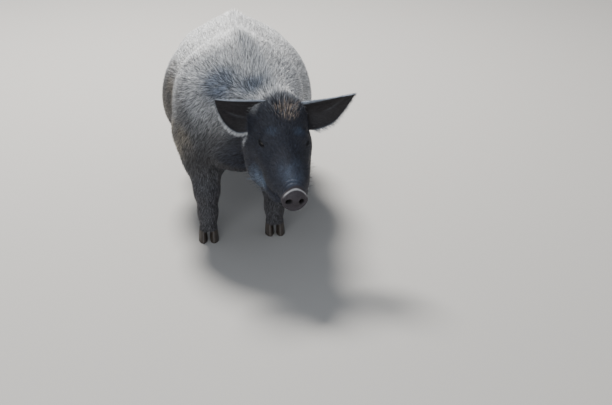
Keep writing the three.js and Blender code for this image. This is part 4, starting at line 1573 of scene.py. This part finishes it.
# ---------------------------------------------------------------- coat: the tufts themselves
ROWS = np.array([0.0, 0.36, 0.7, 1.0])  # places along a tuft, from its root to its tip
ROW_WIDTHS = np.array([1.0, 0.86, 0.5])
POINTS_IN_TUFT = 7
SUNK = 0.5  # each root starts this far under the skin
TILT_SPREAD, SWAY_SPREAD = 0.35, 0.10


class Tufts:
    """Many tufts: roots, directions and sizes as arrays with one row for each tuft."""

    def __init__(self, roots, normals, ways, lengths, widths, angles, colours):
        self.roots, self.normals, self.ways = roots, normals, ways
        self.lengths, self.widths, self.angles, self.colours = lengths, widths, angles, colours

    def chosen(self, mask):
        return Tufts(*[values[mask] for values in vars(self).values()])

    def points(self):
        """Seven points for each tuft: three pairs and a tip, rising from the skin and bending back to it."""
        n = len(self.roots)
        side = np.cross(self.normals, self.ways)
        tilt = random.normal(0, TILT_SPREAD, n)[:, None]
        across = side * np.cos(tilt) + self.normals * np.sin(tilt)
        sway = random.normal(0, SWAY_SPREAD, n)
        rise = np.tan(self.angles)
        points = np.empty((n, POINTS_IN_TUFT, 3))
        for row, share in enumerate(ROWS):
            along = self.lengths * share
            up = self.lengths * rise * (1.5 * share - 0.5 * share**2) - SUNK * (share == 0)
            middle = self.roots + self.ways * along[:, None] + self.normals * up[:, None]
            middle += side * (self.lengths * sway * share**2)[:, None]
            if row < len(ROW_WIDTHS):
                half = across * (self.widths * ROW_WIDTHS[row] / 2)[:, None]
                points[:, 2 * row], points[:, 2 * row + 1] = middle - half, middle + half
            else:
                points[:, 2 * row] = middle
        return points


TUFT_FACES = [(0, 2, 3, 1), (2, 4, 5, 3), (4, 6, 5)]
ROOT_SHADE, TIP_SHADE = 0.5, 1.2
PATCH = 0.003  # side of each tuft's place on the unwrap
PATCH_POINTS = [(-1, -1), (1, -1), (-1, -0.3), (1, -0.3), (-1, 0.4), (1, 0.4), (0, 1)]


def coat_mesh(name, tufts, places):
    """One mesh of tufts. places are where their roots lie, 0 to 1, on an unwrap of the skin's own shape."""
    n = len(tufts.roots)
    points = to_row(tufts.points().reshape(-1, 3)).astype(np.float32)
    corners = np.concatenate([np.array(face) for face in TUFT_FACES])
    sizes = np.array([len(face) for face in TUFT_FACES])
    loops = (np.arange(n)[:, None] * POINTS_IN_TUFT + corners[None]).ravel().astype(np.int32)
    starts = np.concatenate([[0], np.cumsum(np.tile(sizes, n))[:-1]]).astype(np.int32)
    mesh = bpy.data.meshes.new(name)
    mesh.vertices.add(len(points))
    mesh.vertices.foreach_set("co", points.ravel())
    mesh.loops.add(len(loops))
    mesh.loops.foreach_set("vertex_index", loops)
    mesh.polygons.add(len(starts))
    mesh.polygons.foreach_set("loop_start", starts)
    mesh.update(calc_edges=True)
    shades = np.interp(np.repeat(ROWS, 2)[:POINTS_IN_TUFT], [0, 1], [ROOT_SHADE, TIP_SHADE])
    set_colours(mesh, "hair", (tufts.colours[:, None] * shades[None, :, None]).reshape(-1, 3))
    patch = np.array(PATCH_POINTS) * PATCH / 2
    uv = (places[:, None] + patch[None]).reshape(-1, 2)[loops].astype(np.float32)
    layer = mesh.uv_layers.new(name="OFBake")
    layer.uv.foreach_set("vector", uv.ravel())
    mesh.shade_smooth()
    return mesh


# ---------------------------------------------------------------- coat: unwraps of the skin's own shape
MARGIN = 0.004
TRUNK_FRONT = 300  # between the chest's coat and the trunk's
TRUNK_MIDDLE, TRUNK_RADIUS = (5, 400), 210


def fitted(places):
    """Places scaled to fill the square from 0 to 1, with a small margin."""
    low, high = places.min(0), places.max(0)
    return MARGIN + (places - low) / np.maximum(high - low, 1e-6) * (1 - 2 * MARGIN)


def round_trunk(points):
    """Round the trunk from its belly, and along its surface from front to back."""
    x, z = points[:, 0] - TRUNK_MIDDLE[0], points[:, 2] - TRUNK_MIDDLE[1]
    radius = np.hypot(x, z)
    front, back = points[:, 1] + radius, points[:, 1] - radius + 2 * TRUNK_RADIUS
    return np.stack([np.arctan2(x, z), np.where(points[:, 1] < TRUNK_FRONT, front, back)], 1)


def round_head(points):
    q = to_head(points)
    x, z = q[:, 0], q[:, 2] + 18
    return np.stack([np.arctan2(x, z), q[:, 1] + np.hypot(x, z) * 0.5], 1)


def round_limb(points, name):
    joints = LIMBS[name][::-1]
    x = np.interp(points[:, 2], joints[:, 2], joints[:, 0])
    y = np.interp(points[:, 2], joints[:, 2], joints[:, 1])
    return np.stack([np.arctan2(points[:, 0] - x, points[:, 1] - y), points[:, 2]], 1)


def over_ear(points, name):
    """The front of the ear's sheet beside its back."""
    u, v, off = ear_place(name, points)
    v = np.clip(v, 0, 1)
    return np.stack([np.where(off > 0, v, 2.1 - v), u], 1)


def round_tail(points):
    return np.stack([np.arctan2(points[:, 0] - 8, points[:, 1] - 870), points[:, 2] + 0.3 * points[:, 1]], 1)


coat_finish = coat_material()


def add_coat(name, tufts, unwrap):
    """Adds the tufts as one or more pieces, each small enough to be kept as it is."""
    places = unwrap(tufts.roots)
    order = np.argsort(places[:, 1], kind="stable")
    pieces = math.ceil(len(order) / TUFTS_IN_PIECE)
    slot = "back_coat" if name.startswith(("trunk", "neck")) else "dark_coat"
    for number, chunk in enumerate(np.array_split(order, pieces)):
        ending = name if pieces == 1 else f"{name}_{number + 1}"
        mesh = coat_mesh("coat_" + ending, tufts.chosen(chunk), fitted(places[chunk]))
        place_piece(mesh, "coat_" + ending, coat_finish, slot)


SHADE_SPREAD = 0.34
DARK_SHARE, DARK_SHADE = 0.3, 0.22  # of the hairs, and of their brightness


def hair_colours(p, normals):
    """The markings, with light and dark hairs mixed, and grey and tan ones among the black of the crown."""
    colour = marking(p, normals, blended_crown=False)
    shade = np.exp(random.normal(0, SHADE_SPREAD, len(p)))
    shade[random.uniform(size=len(p)) < DARK_SHARE] *= DARK_SHADE
    q = to_head(p)
    for hue, spots in ((CROWN_GREY, CROWN_GREY_SPOT), (CROWN_TAN, CROWN_TAN_SPOT)):
        colour[random.uniform(size=len(p)) < spotted(q, spots)] = hue
    return colour * shade[:, None]


WAY_SPREAD = 0.16
SIZE_RANGES = [(0.7, 1.15), (0.75, 1.2), (0.5, 1.35)]  # of the lengths, widths and angles
WHISKER_SHARE = 0.02  # of the tufts of the chin and the jaw
WHISKER_LENGTH, WHISKER_RISE = 2.4, math.radians(28)


def grown_coat():
    """The coat that grows from the whole skin, and the part that each tuft stands on."""
    roots, normals = scattered_roots(skin.data)
    part = part_of(roots)
    ways = lie_of_hair(roots, normals, part)
    ways = flattened(ways + random.normal(0, WAY_SPREAD, ways.shape), normals)
    sizes = tuft_sizes(roots, normals, part)
    n = len(roots)
    lengths, widths, angles = (size * random.uniform(*span, n) for size, span in zip(sizes, SIZE_RANGES))
    q = to_head(roots)
    whisker = (q[:, 1] < -10) & (q[:, 2] < -50) & (random.uniform(size=n) < WHISKER_SHARE)
    lengths[whisker] *= WHISKER_LENGTH
    angles[whisker] += WHISKER_RISE
    return Tufts(roots, normals, ways, lengths, widths, angles, hair_colours(roots, normals)), part


FRINGE_LOWER, FRINGE_UPPER = 420, 260  # hairs along each edge
FRINGE_LOWER_LENGTH, FRINGE_UPPER_LENGTH = 20, 7


def ear_fringe(name):
    """Long hairs along the lower edge of one ear, and short ones along the upper edge, painted pale as a
    highlight of lit hair.
    """
    u = np.concatenate([random.uniform(0.02, 0.86, FRINGE_LOWER), random.uniform(0.05, 0.98, FRINGE_UPPER)])
    lower = np.arange(len(u)) < FRINGE_LOWER
    roots = ear_points(name, u, np.where(lower, 0.99, 0.01), np.zeros(len(u)))
    along, opening, down = ear_frame(name, u)
    outward = np.where(lower, 1.0, -0.35)[:, None] * down
    swept = outward + along * random.uniform(0.5, 1.1, len(u))[:, None]
    ways = unit(swept + random.normal(0, 0.12, swept.shape))
    longest = np.where(lower, FRINGE_LOWER_LENGTH, FRINGE_UPPER_LENGTH)
    lengths = longest * random.uniform(0.5, 1.15, len(u)) * (1.15 - 0.6 * u)
    # pale as a painted highlight of the lit hair along the ears' edges
    colours = plain(DUST_AND_SHEEN_SILVER * 0.7, u) * np.exp(random.normal(0, 0.35, len(u)))[:, None]
    widths, angles = np.full(len(u), 0.7), np.full(len(u), 0.03)
    return Tufts(roots, flattened(opening, ways), ways, lengths, widths, angles, colours)


LASHES = 46  # on each upper lid


def lashes():
    """Dark lashes along both upper lids."""
    groups = []
    for side in (-1, 1):
        backward, up, outward = eye_directions(side)
        t = random.uniform(-0.85, 0.9, LASHES)
        along = OPENING_WIDTH * t
        edge = OPENING_UP * np.sqrt(1 - t**2) * 1.05 + SLIT_TILT * along
        out = np.sqrt(np.maximum((EYE_RADIUS + LID_THICKNESS) ** 2 - along**2 - edge**2, 4))
        on_lid = eye_middle(side) + backward * along[:, None] + up * edge[:, None]
        roots = on_lid + outward * (out - 0.6)[:, None]
        spread = random.normal(0, 0.14, (LASHES, 3))
        ways = unit(outward - 0.35 * up + backward * (0.5 * t)[:, None] + spread)
        normals = unit(plain(up, t) - ways * (ways @ up)[:, None])
        groups.append((in_head(roots), normals @ HEAD_TURN.T, ways @ HEAD_TURN.T))
    roots, normals, ways = (np.concatenate(parts) for parts in zip(*groups))
    n = len(roots)
    colours = plain(CHARCOAL * 0.5, roots)
    return Tufts(roots, normals, ways, random.uniform(9, 15, n), np.full(n, 0.5), np.full(n, -0.1), colours)


def joined_tufts(*groups):
    return Tufts(*[np.concatenate(values) for values in zip(*[vars(group).values() for group in groups])])


def add_coats():
    coat, part = grown_coat()
    add_coat("head", joined_tufts(coat.chosen(part == ON_HEAD), lashes()), round_head)
    side = ear_side(coat.roots)
    for name in SIDES:
        ear = coat.chosen((part == ON_EAR) & (side == name))
        hairs = joined_tufts(ear, ear_fringe(name))
        add_coat("ear_" + name, hairs, lambda points, name=name: over_ear(points, name))
    limb = nearest_limb(coat.roots)
    for index, name in enumerate(LIMB_NAMES):
        leg = coat.chosen((part == ON_LEG) & (limb == index))
        add_coat("leg_" + name, leg, lambda points, name=name: round_limb(points, name))
    add_coat("tail", coat.chosen(part == ON_TAIL), round_tail)
    body, front = part == ON_BODY, coat.roots[:, 1] < TRUNK_FRONT
    add_coat("neck_and_chest", coat.chosen(body & front), round_trunk)
    add_coat("trunk", coat.chosen(body & ~front), round_trunk)


add_coats()


# ---------------------------------------------------------------- floor and light
FLOOR_HALF_WIDTH = 6.0
FLOOR_COLOUR = (0.42, 0.41, 0.395, 1)
# Round lights: place, target, diameter, watts and colour.
LIGHTS = {
    "key": ((-0.9, 2.6, 4.3), (0, 0, 0.35), 1.4, 620, (1.0, 0.97, 0.92)),
    "fill": ((-1.0, -4.2, 1.9), (0, -0.2, 0.35), 3.2, 92, (0.9, 0.95, 1.0)),
}
SKY_COLOUR, SKY_STRENGTH = (0.75, 0.8, 0.88, 1), 0.42


def add_floor():
    half = FLOOR_HALF_WIDTH
    mesh = bpy.data.meshes.new("floor")
    corners = [(-half, -half, 0), (half, -half, 0), (half, half, 0), (-half, half, 0)]
    mesh.from_pydata(corners, [], [(0, 1, 2, 3)])
    nodes = Nodes("floor", roughness=0.8, specular=0.5)
    nodes.shader.inputs["Base Color"].default_value = FLOOR_COLOUR
    mesh.materials.append(nodes.material)
    linked("floor", mesh)


def add_light(name, place, target, diameter, power, colour):
    data = bpy.data.lights.new(name, "AREA")
    data.shape = "DISK"
    data.size = diameter
    data.energy = power
    data.color = colour
    light = linked(name, data)
    light.location = place
    direction = Vector(target) - Vector(place)
    light.rotation_euler = direction.to_track_quat("-Z", "Y").to_euler()


def add_lights():
    for name, light in LIGHTS.items():
        add_light(name, *light)
    world = bpy.data.worlds.new("studio")
    world.use_nodes = True
    background = world.node_tree.nodes["Background"]
    background.inputs["Color"].default_value = SKY_COLOUR
    background.inputs["Strength"].default_value = SKY_STRENGTH
    bpy.context.scene.world = world


add_floor()
add_lights()
